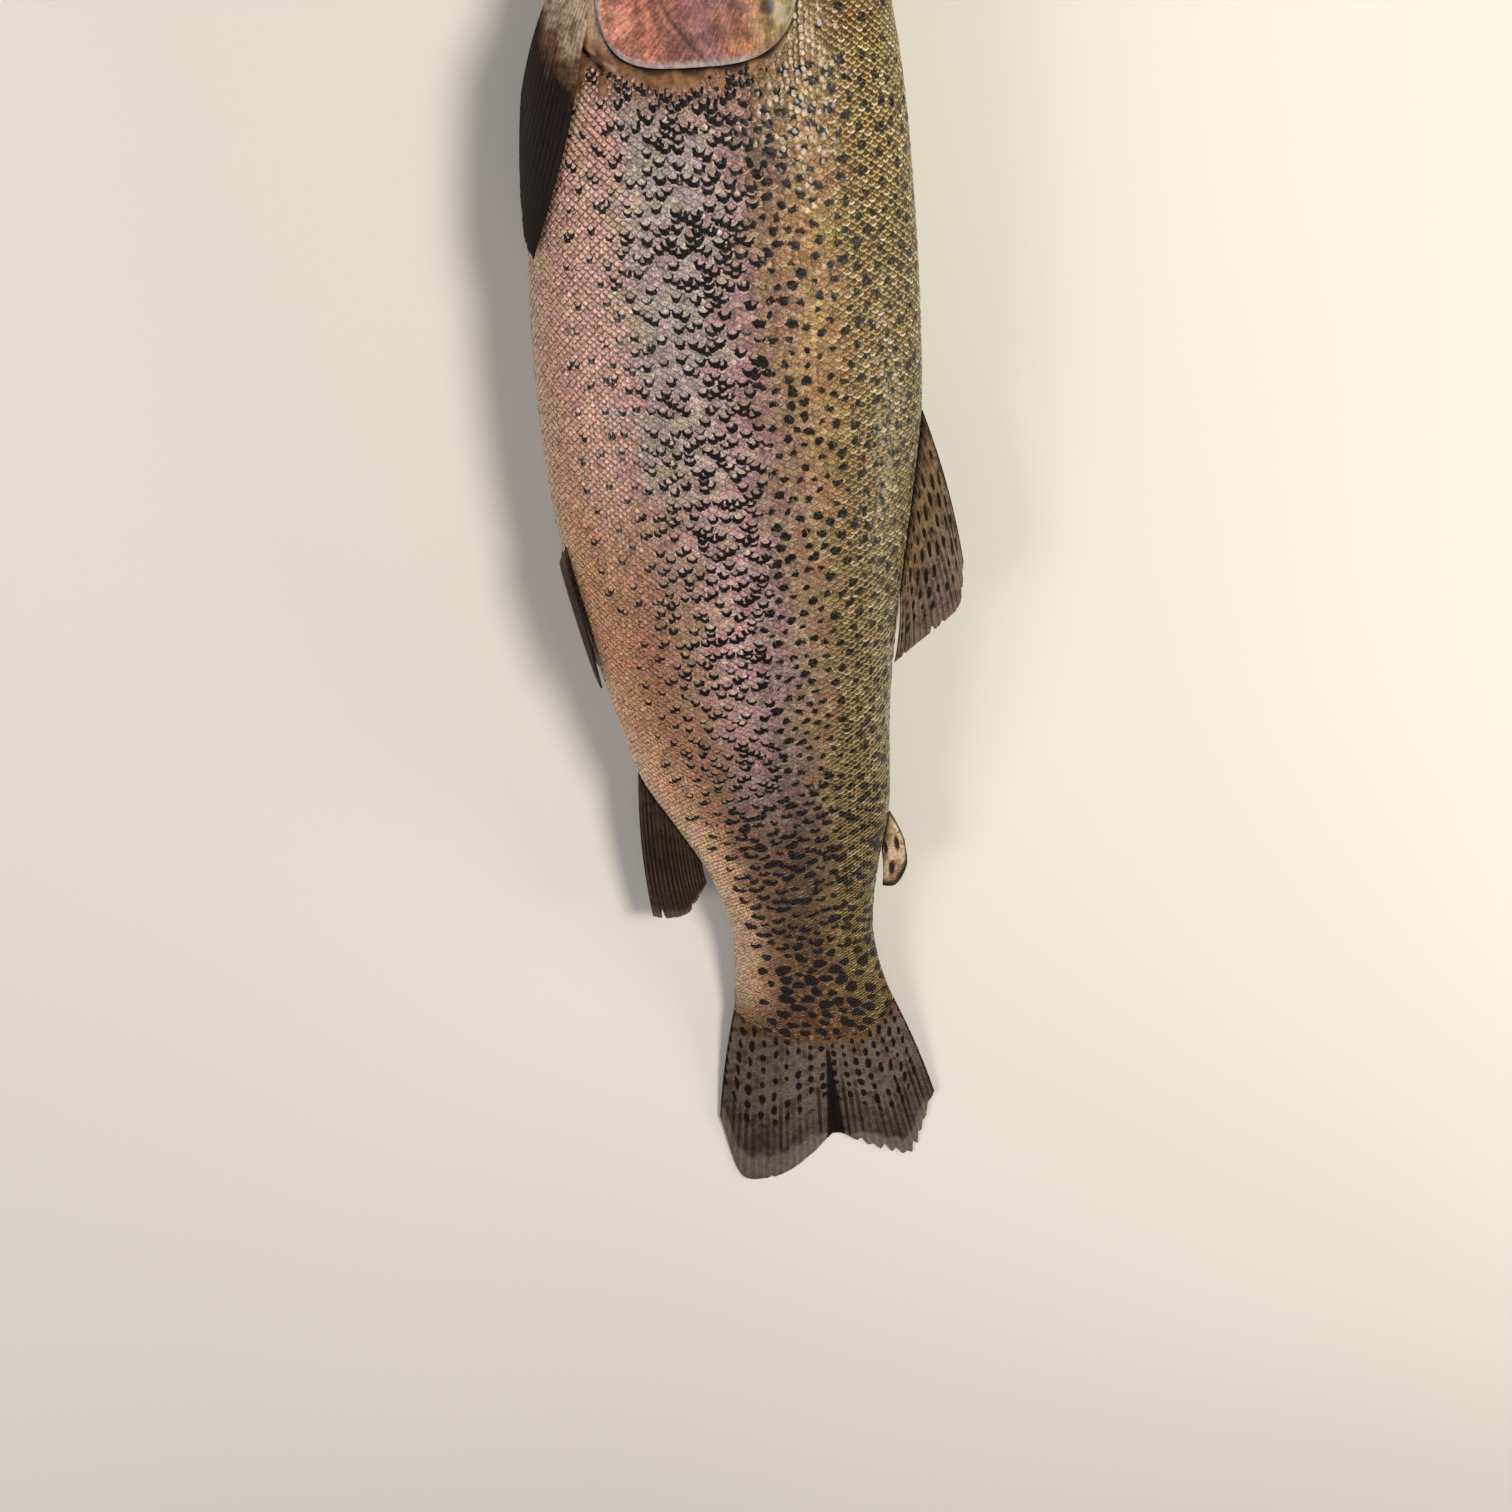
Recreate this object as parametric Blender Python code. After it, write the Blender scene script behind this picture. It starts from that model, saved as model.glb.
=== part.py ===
"""A rainbow trout, life size, lying at rest on its right side.

Each point of the fish is first given in millimetres, in the fish's own measures:
  s  along the body, from the snout tip towards the tail
  x  across the body, from the straight lateral axis towards the back; negative is towards the belly
  z  height above the floor that the fish lies on
or, on the skin, by s and u, where u goes once round the girth: 0 is the ridge of the back,
0.25 the upper (left) flank, 0.5 the midline of the belly and 0.75 the lower (right) flank.
In the world the head points along +Y, the back along +X and the left flank up along +Z.
"""

import bmesh
import bpy
import numpy as np

MM = 0.001
GAP = 0.3                 # clear distance between neighbouring pieces
SNOUT_Y = 179.35          # world place of the snout tip, so that the whole fish is centred on the origin
AXIS_X = -1.95            # world place of the lateral axis, for the same reason

# Driving dimensions of the body.
TRUNK_Z = 20.0            # height of the midplane where the flank lies on the floor
SNOUT_DIP = 1.8           # how far the midplane sinks at the snout
HEAD_END = 75.0           # behind this the midplane is level
TAIL_DROP = 19.6          # how far the limp tail sinks from the trunk's midplane to the fin's tips
DROP_START, DROP_LENGTH = 175.0, 178.0
BEND_START, BEND_LENGTH, BEND_SLOPE = 205.0, 45.0, 0.14   # the tail swings towards the back
NOSE_RADIUS = 10.0        # length of the rounded snout
ROUNDNESS = 2.1           # exponent of the oval sections, 2 would be an ellipse

# s, depth of the back above the axis, depth of the belly below it, half the width
BODY = np.array((
    (0.0, 9.0, 8.0, 8.0),
    (12.0, 14.0, 13.0, 11.8),
    (25.0, 20.6, 19.0, 14.8),
    (40.0, 26.8, 25.6, 17.5),
    (55.0, 31.2, 32.2, 19.4),
    (70.0, 33.6, 35.8, 20.1),
    (90.0, 35.3, 38.9, 20.8),
    (115.0, 36.4, 41.2, 21.0),
    (132.0, 36.4, 41.7, 20.8),
    (148.0, 34.6, 41.2, 20.2),
    (161.0, 32.8, 39.9, 19.3),
    (175.0, 31.0, 37.6, 18.0),
    (190.0, 29.4, 34.8, 16.2),
    (203.0, 28.6, 32.2, 14.6),
    (216.0, 28.4, 29.4, 12.8),
    (229.0, 27.4, 24.2, 10.8),
    (245.0, 23.4, 18.8, 8.7),
    (258.0, 20.2, 17.1, 7.2),
    (268.0, 18.5, 17.1, 6.1),
    (278.0, 18.2, 18.8, 5.1),
    (290.0, 19.3, 21.2, 3.9),
    (308.0, 23.5, 25.4, 2.4),
))

# Where the lengths of the body meet.
NAPE, GILL_OPENING, THROAT = 52.0, 66.3, 41.0   # the seam behind the head: back, flank and belly
MID_TRUNK = 133.0         # in front of the dorsal fin
VENT = 214.0
TAIL_EDGE, TAIL_MIDDLE = 294.0, 306.0           # the fleshy tail stem ends in a bow

EYE_CENTRE = (24.0, 5.8)
EYE_HALF = (7.4, 7.2, 4.0)                      # along, across and into the head
EYE_SUNK = 2.3
MOUTH_FRONT, MOUTH_DROP, MOUTH_CORNER = -2.0, 9.0, 34.0


def smooth(t):
    """An even step from 0 to 1."""
    t = np.clip(t, 0.0, 1.0)
    return t * t * (3.0 - 2.0 * t)


def through(stations, at):
    """A smooth curve through rows of (place, value, ...), read at the places asked for."""
    place, value = stations[:, 0], stations[:, 1:]
    at = np.clip(np.asarray(at, float), place[0], place[-1])
    slope = np.gradient(value, place, axis=0)
    i = np.clip(np.searchsorted(place, at) - 1, 0, len(place) - 2)
    step = (place[i + 1] - place[i])[..., None]
    t = (at - place[i])[..., None] / step
    rise = value[i + 1] - value[i]
    bend = (1.0 - t) * (slope[i] * step - rise) - t * (slope[i + 1] * step - rise)
    return value[i] + t * rise + t * (1.0 - t) * bend


def axis_x(s):
    """The lateral axis: straight, then bent towards the back along the tail."""
    past = np.clip(s - BEND_START, 0.0, None)
    return BEND_SLOPE * np.where(past < BEND_LENGTH, past ** 2 / (2 * BEND_LENGTH), past - BEND_LENGTH / 2)


def axis_z(s):
    """The midplane's height: level along the trunk, dipping at the head and sinking along the tail."""
    dip = SNOUT_DIP * np.clip(1.0 - s / HEAD_END, 0.0, 1.0) ** 2
    return TRUNK_Z - dip - TAIL_DROP * smooth((s - DROP_START) / DROP_LENGTH)


def sizes(s):
    """Depth of the back, depth of the belly and half width at s, with the snout rounded off."""
    nose = np.sqrt(1.0 - (1.0 - np.clip(s / NOSE_RADIUS, 0.0, 1.0)) ** 2)
    back, belly, width = np.moveaxis(through(BODY, s), -1, 0)
    return back * nose, belly * nose, width * nose


def world(s, x, z):
    """Points in metres. Nothing goes below the floor, so what rests on it is flat there."""
    s, x, z = np.broadcast_arrays(s, x, z)
    return np.stack((x + AXIS_X, SNOUT_Y - s, np.maximum(z, 0.0)), -1) * MM


def skin(s, u, lift=0.0):
    """The body's surface, or a surface at some lift over it."""
    s, u, lift = np.broadcast_arrays(np.asarray(s, float), u, lift)
    back, belly, width = sizes(s)
    c, h = np.cos(2 * np.pi * u), np.sin(2 * np.pi * u)
    depth = np.where(c > 0, back, belly)
    x = depth * np.sign(c) * np.abs(c) ** (2 / ROUNDNESS)
    z = width * np.sign(h) * np.abs(h) ** (2 / ROUNDNESS)
    out_x = np.sign(x) * np.abs(x / depth) ** (ROUNDNESS - 1) / depth
    out_z = np.sign(z) * np.abs(z / width) ** (ROUNDNESS - 1) / width
    size = np.hypot(out_x, out_z)
    return world(s, axis_x(s) + x + lift * out_x / size, axis_z(s) + z + lift * out_z / size)


def girth(s, x, side):
    """The girth place u of a point that is given by x, on the left (1) or right (-1) flank."""
    back, belly, _ = sizes(s)
    share = np.clip((x - axis_x(s)) / np.where(x > axis_x(s), back, belly), -1.0, 1.0)
    u = np.arccos(np.sign(share) * np.abs(share) ** (ROUNDNESS / 2)) / (2 * np.pi)
    return u if side > 0 else 1.0 - u


def flank(s, x, side, lift=0.0):
    """The skin of one flank over the side-view point (s, x)."""
    return skin(s, girth(s, x, side), lift)


def finish(name, verts, faces, colour, rough, metallic=0.0):
    """One named object with its own material, its faces outward and its soft edges smooth."""
    mesh = bpy.data.meshes.new(name)
    mesh.from_pydata([tuple(v) for v in verts], [], faces)
    bm = bmesh.new()
    bm.from_mesh(mesh)
    bmesh.ops.remove_doubles(bm, verts=bm.verts, dist=1e-6)
    bmesh.ops.dissolve_degenerate(bm, edges=bm.edges, dist=1e-6)
    bmesh.ops.recalc_face_normals(bm, faces=bm.faces)
    bm.to_mesh(mesh)
    bm.free()
    mesh.shade_smooth()
    mesh.set_sharp_from_angle(angle=0.7)
    material = bpy.data.materials.new(name)
    material.use_nodes = True
    shader = material.node_tree.nodes["Principled BSDF"]
    shader.inputs["Base Color"].default_value = (*colour, 1.0)
    shader.inputs["Roughness"].default_value = rough
    shader.inputs["Metallic"].default_value = metallic
    mesh.materials.append(material)
    piece = bpy.data.objects.new(name, mesh)
    bpy.context.collection.objects.link(piece)
    return piece


def cutter(name, verts, faces):
    """A hidden guide for a Boolean."""
    piece = finish(name, verts, faces, (0.5, 0.5, 0.5), 0.5)
    piece.hide_render = True
    piece.display_type = 'WIRE'
    return piece


def carve(piece, tool, operation='DIFFERENCE'):
    modifier = piece.modifiers.new(tool.name, 'BOOLEAN')
    modifier.operation = operation
    modifier.solver = 'EXACT'
    modifier.object = tool


def loft(start, end, rings, sides, crowding=1.0):
    """A length of the body between two seams, each a function of u. The ends are cut straight across."""
    u = np.arange(sides) / sides
    along = np.linspace(0.0, 1.0, rings + 1) ** crowding
    s = start(u) + (end(u) - start(u)) * along[:, None]
    verts = skin(s, u[None, :]).reshape(-1, 3)
    faces = []
    for i in range(rings):
        for k in range(sides):
            n = (k + 1) % sides
            faces.append((i * sides + k, i * sides + n, (i + 1) * sides + n, (i + 1) * sides + k))
    for first in (0, rings * sides):
        for k in range(sides // 2):
            row = (k, k + 1, (sides - k - 1) % sides, (sides - k) % sides)
            faces.append([first + j for j in dict.fromkeys(row)])
    return verts, faces


def slab(top, bottom):
    """A closed plate between two grids of points of the same shape."""
    rows, columns = top.shape[:2]
    verts = np.concatenate((top.reshape(-1, 3), bottom.reshape(-1, 3)))
    under = rows * columns
    faces = []
    for i in range(rows - 1):
        for k in range(columns - 1):
            a = i * columns + k
            quad = (a, a + 1, a + columns + 1, a + columns)
            faces.append(quad)
            faces.append([under + j for j in reversed(quad)])
    rim = [k for k in range(columns)]
    rim += [i * columns + columns - 1 for i in range(1, rows)]
    rim += [(rows - 1) * columns + k for k in range(columns - 2, -1, -1)]
    rim += [i * columns for i in range(rows - 2, 0, -1)]
    for a, b in zip(rim, rim[1:] + rim[:1]):
        faces.append((b, a, under + a, under + b))
    return verts, faces


# ---------------------------------------------------------------- lengths of the body

def gill_seam(offset):
    def seam(u):
        v = np.minimum(u, 1.0 - u)
        back, belly = smooth((0.19 - v) / 0.19), smooth((v - 0.33) / 0.17)
        return GILL_OPENING - (GILL_OPENING - NAPE) * back - (GILL_OPENING - THROAT) * belly + offset
    return seam


def cross_seam(place):
    return lambda u: np.full_like(u, place)


def tail_end(u):
    return TAIL_MIDDLE - (TAIL_MIDDLE - TAIL_EDGE) * np.cos(2 * np.pi * u) ** 2


def trunk():
    brown, olive = (0.30, 0.22, 0.14), (0.26, 0.21, 0.11)
    front = loft(gill_seam(GAP / 2), cross_seam(MID_TRUNK - GAP / 2), 9, 40)
    rear = loft(cross_seam(MID_TRUNK + GAP / 2), cross_seam(VENT - GAP / 2), 9, 40)
    stem = loft(cross_seam(VENT + GAP / 2), tail_end, 12, 32)
    finish("trunk_front", *front, brown, 0.35, 0.2)
    finish("trunk_rear", *rear, brown, 0.35, 0.2)
    finish("tail_stem", *stem, olive, 0.35, 0.2)


# ---------------------------------------------------------------- head

def mouth_x(s):
    return MOUTH_FRONT - MOUTH_DROP * np.clip(s / MOUTH_CORNER, 0.0, 1.1) ** 1.25


def jaw_tool(name, clear):
    """A prism across the head whose upper side follows the mouth line; clear shrinks it."""
    s = np.linspace(0.0, MOUTH_CORNER - clear, 9)
    line = [(-5.0, MOUTH_FRONT - clear)] + list(zip(s, mouth_x(s) - clear))
    line += [(38.0 - clear, -15.5), (38.5 - clear, -19.0), (35.5 - clear, -23.5), (35.0 - clear, -45.0), (-5.0, -45.0)]
    count = len(line)
    verts = [((x + AXIS_X) * MM, (SNOUT_Y - s) * MM, z * MM) for z in (-10.0, 50.0) for s, x in line]
    faces = [tuple(range(count)), tuple(range(2 * count - 1, count - 1, -1))]
    faces += [(k, (k + 1) % count, count + (k + 1) % count, count + k) for k in range(count)]
    return cutter(name, verts, faces)


def gill_cover(side, top, bottom, grow, reach=0.0):
    """The opercular plate: a straight front edge and a boldly rounded rear edge."""
    middle, half, front, rear = -3.4, 17.6 + grow, 47.0 - grow, 17.8 + grow
    turn = np.linspace(-1.0, 1.0, 17)
    x = middle + half * np.sin(0.5 * np.pi * turn)
    power = np.where(turn > 0, 3.0, 4.0)
    bulge = (1.0 - np.minimum(np.abs(x - middle) / half, 0.9996) ** power) ** (1.0 / power)
    across = np.linspace(0.0, 1.0, 6)[None, :]
    near = front + 1.6 * turn ** 2
    far = 48.0 + reach + rear * bulge
    s = near[:, None] + (np.maximum(far, near + 1.0) - near)[:, None] * across
    grid_x = np.broadcast_to(x[:, None], s.shape)
    return slab(flank(s, grid_x, side, top), flank(s, grid_x, side, bottom))


def maxilla(side, top, bottom, grow):
    """The bone of the upper lip, along the mouth line and widest behind the eye."""
    f = np.linspace(0.0, 1.0, 12)
    s = 3.5 - grow + (33.0 + 2 * grow) * f
    ends = np.clip(1.0 - np.abs(2 * f - 1) ** 5, 0.05, 1.0) ** 0.5
    upper = mouth_x(s) + (0.9 + 1.7 * f) * ends + grow
    lower = mouth_x(s) - (0.6 + 1.9 * f) * ends - grow
    across = np.linspace(0.0, 1.0, 4)[None, :]
    x = lower[:, None] + (upper - lower)[:, None] * across
    grid_s = np.broadcast_to(s[:, None], x.shape)
    return slab(flank(grid_s, x, side, top), flank(grid_s, x, side, bottom))


def eyeball(side, grow):
    """A flattened ball sunk in the head, its axis along the skin's outward direction."""
    s0, x0 = EYE_CENTRE
    centre, surface = flank(s0, x0, side, -EYE_SUNK), flank(s0, x0, side)
    into = (surface - centre) / np.linalg.norm(surface - centre)
    along = np.array((0.0, -1.0, 0.0))
    across = np.cross(into, along)
    half = [(h + grow) * MM for h in EYE_HALF]
    rings, sides = 8, 16
    verts = []
    for i in range(rings + 1):
        polar = np.pi * i / rings
        for k in range(sides):
            round_ = 2 * np.pi * k / sides
            verts.append(centre + into * half[2] * np.cos(polar)
                         + along * half[0] * np.sin(polar) * np.cos(round_)
                         + across * half[1] * np.sin(polar) * np.sin(round_))
    faces = []
    for i in range(rings):
        for k in range(sides):
            n = (k + 1) % sides
            faces.append((i * sides + k, i * sides + n, (i + 1) * sides + n, (i + 1) * sides + k))
    return verts, faces


def head():
    whole = loft(lambda u: np.full_like(u, 0.06), gill_seam(-GAP / 2), 15, 40, 1.5)
    skull = finish("head", *whole, (0.24, 0.20, 0.10), 0.35, 0.1)
    jaw = finish("lower_jaw", *whole, (0.42, 0.34, 0.24), 0.35)
    carve(skull, jaw_tool("tool_mouth_gap", -GAP / 2))
    carve(jaw, jaw_tool("tool_jaw", GAP / 2), 'INTERSECT')
    for side, word in ((1, "left"), (-1, "right")):
        finish("gill_cover_" + word, *gill_cover(side, 0.5, -1.7, 0.0), (0.45, 0.16, 0.09), 0.3, 0.3)
        finish("maxilla_" + word, *maxilla(side, 0.4, -1.2, 0.0), (0.36, 0.29, 0.18), 0.35)
        finish("eye_" + word, *eyeball(side, 0.0), (0.02, 0.02, 0.02), 0.05)
        cover_bed = cutter("tool_cover_" + word, *gill_cover(side, 5.0, -1.7 - GAP, GAP, 2.0))
        lip_bed = cutter("tool_lip_" + word, *maxilla(side, 3.0, -1.2 - GAP, GAP))
        socket = cutter("tool_socket_" + word, *eyeball(side, GAP))
        for tool in (cover_bed, lip_bed, socket):
            carve(skull, tool)
        carve(jaw, lip_bed)


# ---------------------------------------------------------------- fins

def fan(base, tips, bow, rays, steps):
    """Points of a fin in two flat measures: rays from a base line to the tip curve, bowed forwards."""
    a = np.linspace(0.0, 1.0, rays)
    b = np.linspace(0.0, 1.0, steps)[None, :, None]
    foot = through(np.column_stack((np.linspace(0, 1, len(base)), base)), a)[:, None, :]
    tip = through(np.column_stack((np.linspace(0, 1, len(tips)), tips)), a)[:, None, :]
    ray = tip - foot
    side = np.stack((ray[..., 1], -ray[..., 0]), -1)
    return foot + b * ray + np.broadcast_to(bow, (rays,))[:, None, None] * b * (1.0 - b) * side


def median_fin(name, base, tips, bow, rays, steps, thick, colour, lean=0.0):
    """A fin in the fish's midplane; thick is its thickness at the root and at the margin."""
    grid = fan(base, tips, bow, rays, steps)
    s, x = grid[..., 0], grid[..., 1]
    b = np.linspace(0.0, 1.0, steps)[None, :]
    half = (thick[0] + (thick[1] - thick[0]) * b) / 2
    out = np.abs(x - x[:, :1])
    middle = np.maximum(axis_z(s) - lean * out, half)
    return finish(name, *slab(world(s, x, middle + half), world(s, x, middle - half)), colour, 0.4)


def root_line(s, side):
    """Points of the back's ridge (1) or the belly's midline (-1), with the gap outside it."""
    back, belly, _ = sizes(s)
    return np.column_stack((s, axis_x(s) + (back + GAP if side > 0 else -belly - GAP)))


def unpaired_fins():
    dusk = (0.20, 0.16, 0.12)
    dorsal_tips = ((168.0, 45.4), (177.5, 44.7), (182.0, 40.6), (186.5, 34.6), (190.5, 29.9))
    median_fin("dorsal_fin", root_line(np.linspace(133.6, 174.0, 6), 1), dorsal_tips, -0.10, 15, 6,
               (1.9, 0.7), dusk, 0.12)
    adipose_tips = ((240.5, 32.1), (248.0, 32.6), (254.0, 30.0), (254.4, 26.6))
    median_fin("adipose_fin", root_line(np.linspace(231.0, 243.0, 4), 1), adipose_tips, -0.10, 8, 6,
               (2.4, 0.9), (0.30, 0.28, 0.16))
    anal_tips = ((259.6, -30.8), (260.4, -26.6), (259.4, -22.2), (255.0, -19.4), (249.5, -16.6))
    median_fin("anal_fin", root_line(np.linspace(214.8, 243.0, 6), -1), anal_tips, 0.09, 14, 6,
               (1.9, 0.7), (0.12, 0.07, 0.05), 0.10)


def caudal_fin():
    """The tail fin: rays fan out from the bowed end of the tail stem to two blunt, worn lobes."""
    q = np.linspace(1.0, -1.0, 11)
    s = TAIL_MIDDLE - (TAIL_MIDDLE - TAIL_EDGE) * q ** 2 + GAP
    back, belly, _ = sizes(s)
    x = axis_x(s) + q * np.where(q > 0, back, belly)
    tips = ((330.0, 40.4), (342.0, 37.4), (352.4, 34.4), (351.6, 27.6), (347.4, 19.6), (343.4, 12.6),
            (350.6, 5.6), (356.4, -1.2), (358.7, -8.0), (355.8, -15.2), (334.0, -19.4))
    rays = 27
    fan_place = np.linspace(-1.0, 1.0, rays)
    bow = 0.05 * fan_place ** 3
    median_fin("caudal_fin", np.column_stack((s, x)), tips, bow, rays, 6, (3.8, 0.8), (0.19, 0.15, 0.12))


def paired_fin(name, side, base, tips, bow, rays, steps, lift, thick, colour):
    """A fin folded back along the body; its points are given by s and u of the left flank."""
    grid = fan(base, tips, bow, rays, steps)
    s, u = grid[..., 0], grid[..., 1] / 100.0
    b = np.linspace(0.0, 1.0, steps)[None, :]
    under = GAP + 0.1 + lift * b
    over = under + thick[0] + (thick[1] - thick[0]) * b
    place = u if side > 0 else 1.0 - u
    return finish(name, *slab(skin(s, place, over), skin(s, place, under)), colour, 0.4)


def paired_fins():
    """u is written here in hundredths of the girth."""
    shoulder = ((55.0, 36.8), (53.0, 39.4), (51.0, 42.2))
    pectoral_tips = ((97.0, 43.4), (94.0, 45.2), (86.0, 46.6), (77.0, 47.4), (69.0, 47.6))
    hip = ((153.5, 45.6), (156.0, 47.0), (158.0, 48.4))
    pelvic_tips = ((189.5, 46.2), (188.0, 47.2), (184.5, 48.2), (179.0, 49.0), (173.0, 49.3))
    for side, word in ((1, "left"), (-1, "right")):
        paired_fin("pectoral_fin_" + word, side, shoulder, pectoral_tips, 0.02, 9, 8,
                   0.7, (1.5, 0.6), (0.14, 0.09, 0.06))
        paired_fin("pelvic_fin_" + word, side, hip, pelvic_tips, 0.02, 7, 7, 0.6, (1.4, 0.6), (0.17, 0.08, 0.05))


def clear_scene():
    for thing in list(bpy.data.objects):
        bpy.data.objects.remove(thing, do_unlink=True)


clear_scene()
trunk()
head()
unpaired_fins()
caudal_fin()
paired_fins()
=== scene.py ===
"""Looks of a life-size rainbow trout that lies on its right side.

The fish's own measures, in millimetres, are the ones its solids are built from:
  s  along the body from the snout tip towards the tail
  x  across the body from the straight lateral axis towards the back, negative towards the belly
  u  once round the girth: 0 the ridge of the back, 0.25 the left flank, 0.5 the belly, 0.75 the right flank
  w  the share of the way from the back's ridge (0) to the belly's midline (1), measured along the skin
"""
import math
from functools import partial, reduce

import bmesh
import bpy
import numpy as np
from mathutils import Matrix, Vector

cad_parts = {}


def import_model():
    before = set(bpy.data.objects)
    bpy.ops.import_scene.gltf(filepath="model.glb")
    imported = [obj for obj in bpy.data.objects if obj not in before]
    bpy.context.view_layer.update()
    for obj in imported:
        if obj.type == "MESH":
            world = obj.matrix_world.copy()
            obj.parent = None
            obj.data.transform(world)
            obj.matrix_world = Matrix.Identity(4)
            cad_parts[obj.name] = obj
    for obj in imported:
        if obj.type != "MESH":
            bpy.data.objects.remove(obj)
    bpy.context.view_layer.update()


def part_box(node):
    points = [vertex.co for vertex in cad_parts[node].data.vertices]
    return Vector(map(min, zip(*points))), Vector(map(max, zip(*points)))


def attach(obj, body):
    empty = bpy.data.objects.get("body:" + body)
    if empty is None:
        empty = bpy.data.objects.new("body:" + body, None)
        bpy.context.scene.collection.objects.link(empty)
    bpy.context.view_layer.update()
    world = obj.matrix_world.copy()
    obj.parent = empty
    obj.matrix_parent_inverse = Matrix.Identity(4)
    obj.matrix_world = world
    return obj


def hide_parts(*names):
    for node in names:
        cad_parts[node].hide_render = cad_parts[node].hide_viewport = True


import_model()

MM = 0.001
LEFT, RIGHT = 1, -1
SIDES = ((LEFT, "left"), (RIGHT, "right"))
COAT_DEPTH = 0.35         # the skin lies this far inside the solids, and the scales fill the depth
ROUNDNESS = 2.1
NOSE_RADIUS = 10.0
TAIL_EDGE, TAIL_MIDDLE = 294.0, 306.0
NAPE, GILL_OPENING, THROAT = 52.0, 66.3, 41.0
EYE = (24.0, 5.8)
EYE_HALF = (7.4, 7.2, 4.0)
EYE_SUNK = 2.7
IRIS = 6.1                # radius of the iris, inside the eyeball's rim
GAP = 0.3                 # between a fin and the body
BEND_START, BEND_LENGTH, BEND_SLOPE = 205.0, 45.0, 0.14      # the tail turns a little towards the back
FLANK_HEIGHT, SNOUT_DIP, SNOUT_DIP_LENGTH = 20.0, 1.8, 75.0  # the axis above the floor, lower at the snout
SINK_START, SINK_LENGTH, SINK = 175.0, 178.0, 19.6           # the limp tail sinks to the floor

# s, depth of the back above the axis, depth of the belly below it, half the width
BODY = np.array((
    (0.0, 9.0, 8.0, 8.0), (12.0, 14.0, 13.0, 11.8), (25.0, 20.6, 19.0, 14.8), (40.0, 26.8, 25.6, 17.5),
    (55.0, 31.2, 32.2, 19.4), (70.0, 33.6, 35.8, 20.1), (90.0, 35.3, 38.9, 20.8),
    (115.0, 36.4, 41.2, 21.0), (132.0, 36.4, 41.7, 20.8), (148.0, 34.6, 41.2, 20.2),
    (161.0, 32.8, 39.9, 19.3), (175.0, 31.0, 37.6, 18.0), (190.0, 29.4, 34.8, 16.2),
    (203.0, 28.6, 32.2, 14.6), (216.0, 28.4, 29.4, 12.8), (229.0, 27.4, 24.2, 10.8),
    (245.0, 23.4, 18.8, 8.7), (258.0, 20.2, 17.1, 7.2), (268.0, 18.5, 17.1, 6.1), (278.0, 18.2, 18.8, 5.1),
    (290.0, 19.3, 21.2, 3.9), (308.0, 23.5, 25.4, 2.4),
))

rng = np.random.default_rng(41)


# ---------------------------------------------------------------- the body's shape

def smooth(t):
    t = np.clip(t, 0.0, 1.0)
    return t * t * (3.0 - 2.0 * t)


def through(stations, at):
    """A smooth curve through rows of (place, value, ...), read at the places asked for."""
    place, value = stations[:, 0], stations[:, 1:]
    at = np.clip(np.asarray(at, float), place[0], place[-1])
    slope = np.gradient(value, place, axis=0)
    i = np.clip(np.searchsorted(place, at) - 1, 0, len(place) - 2)
    step = (place[i + 1] - place[i])[..., None]
    t = (at - place[i])[..., None] / step
    rise = value[i + 1] - value[i]
    bend = (1.0 - t) * (slope[i] * step - rise) - t * (slope[i + 1] * step - rise)
    return value[i] + t * rise + t * (1.0 - t) * bend


def axis_x(s):
    past = np.clip(s - BEND_START, 0.0, None)
    return BEND_SLOPE * np.where(past < BEND_LENGTH, past ** 2 / (2 * BEND_LENGTH), past - BEND_LENGTH / 2)


def axis_z(s):
    dip = SNOUT_DIP * np.clip(1.0 - s / SNOUT_DIP_LENGTH, 0.0, 1.0) ** 2
    return FLANK_HEIGHT - dip - SINK * smooth((s - SINK_START) / SINK_LENGTH)


def sizes(s):
    nose = np.sqrt(1.0 - (1.0 - np.clip(s / NOSE_RADIUS, 0.0, 1.0)) ** 2)
    back, belly, width = np.moveaxis(through(BODY, s), -1, 0)
    return back * nose, belly * nose, width * nose


HEAD_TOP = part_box("head")[1][1] / MM
SNOUT_Y = HEAD_TOP + 0.06
DEEPEST_BELLY = 132.85    # s where the belly reaches furthest from the axis
AXIS_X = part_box("trunk_front")[0][0] / MM + float(sizes(DEEPEST_BELLY)[1])


def world(s, x, z):
    """Points in metres from s, x and the height z, none of them below the floor."""
    s, x, z = np.broadcast_arrays(s, x, z)
    return np.stack((x + AXIS_X, SNOUT_Y - s, np.maximum(z, 0.0)), -1) * MM


def oval(s, u):
    """Offsets of the section at s from the body's axis, and its outward direction there."""
    back, belly, width = sizes(s)
    c, h = np.cos(2 * np.pi * u), np.sin(2 * np.pi * u)
    depth = np.where(c > 0, back, belly)
    x = depth * np.sign(c) * np.abs(c) ** (2 / ROUNDNESS)
    z = width * np.sign(h) * np.abs(h) ** (2 / ROUNDNESS)
    out_x = np.sign(x) * np.abs(x / depth) ** (ROUNDNESS - 1) / depth
    out_z = np.sign(z) * np.abs(z / width) ** (ROUNDNESS - 1) / width
    size = np.hypot(out_x, out_z)
    return x, z, out_x / size, out_z / size


def skin(s, u, lift=0.0):
    s, u, lift = np.broadcast_arrays(np.asarray(s, float), u, lift)
    x, z, out_x, out_z = oval(s, u)
    return world(s, axis_x(s) + x + lift * out_x, axis_z(s) + z + lift * out_z)


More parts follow.
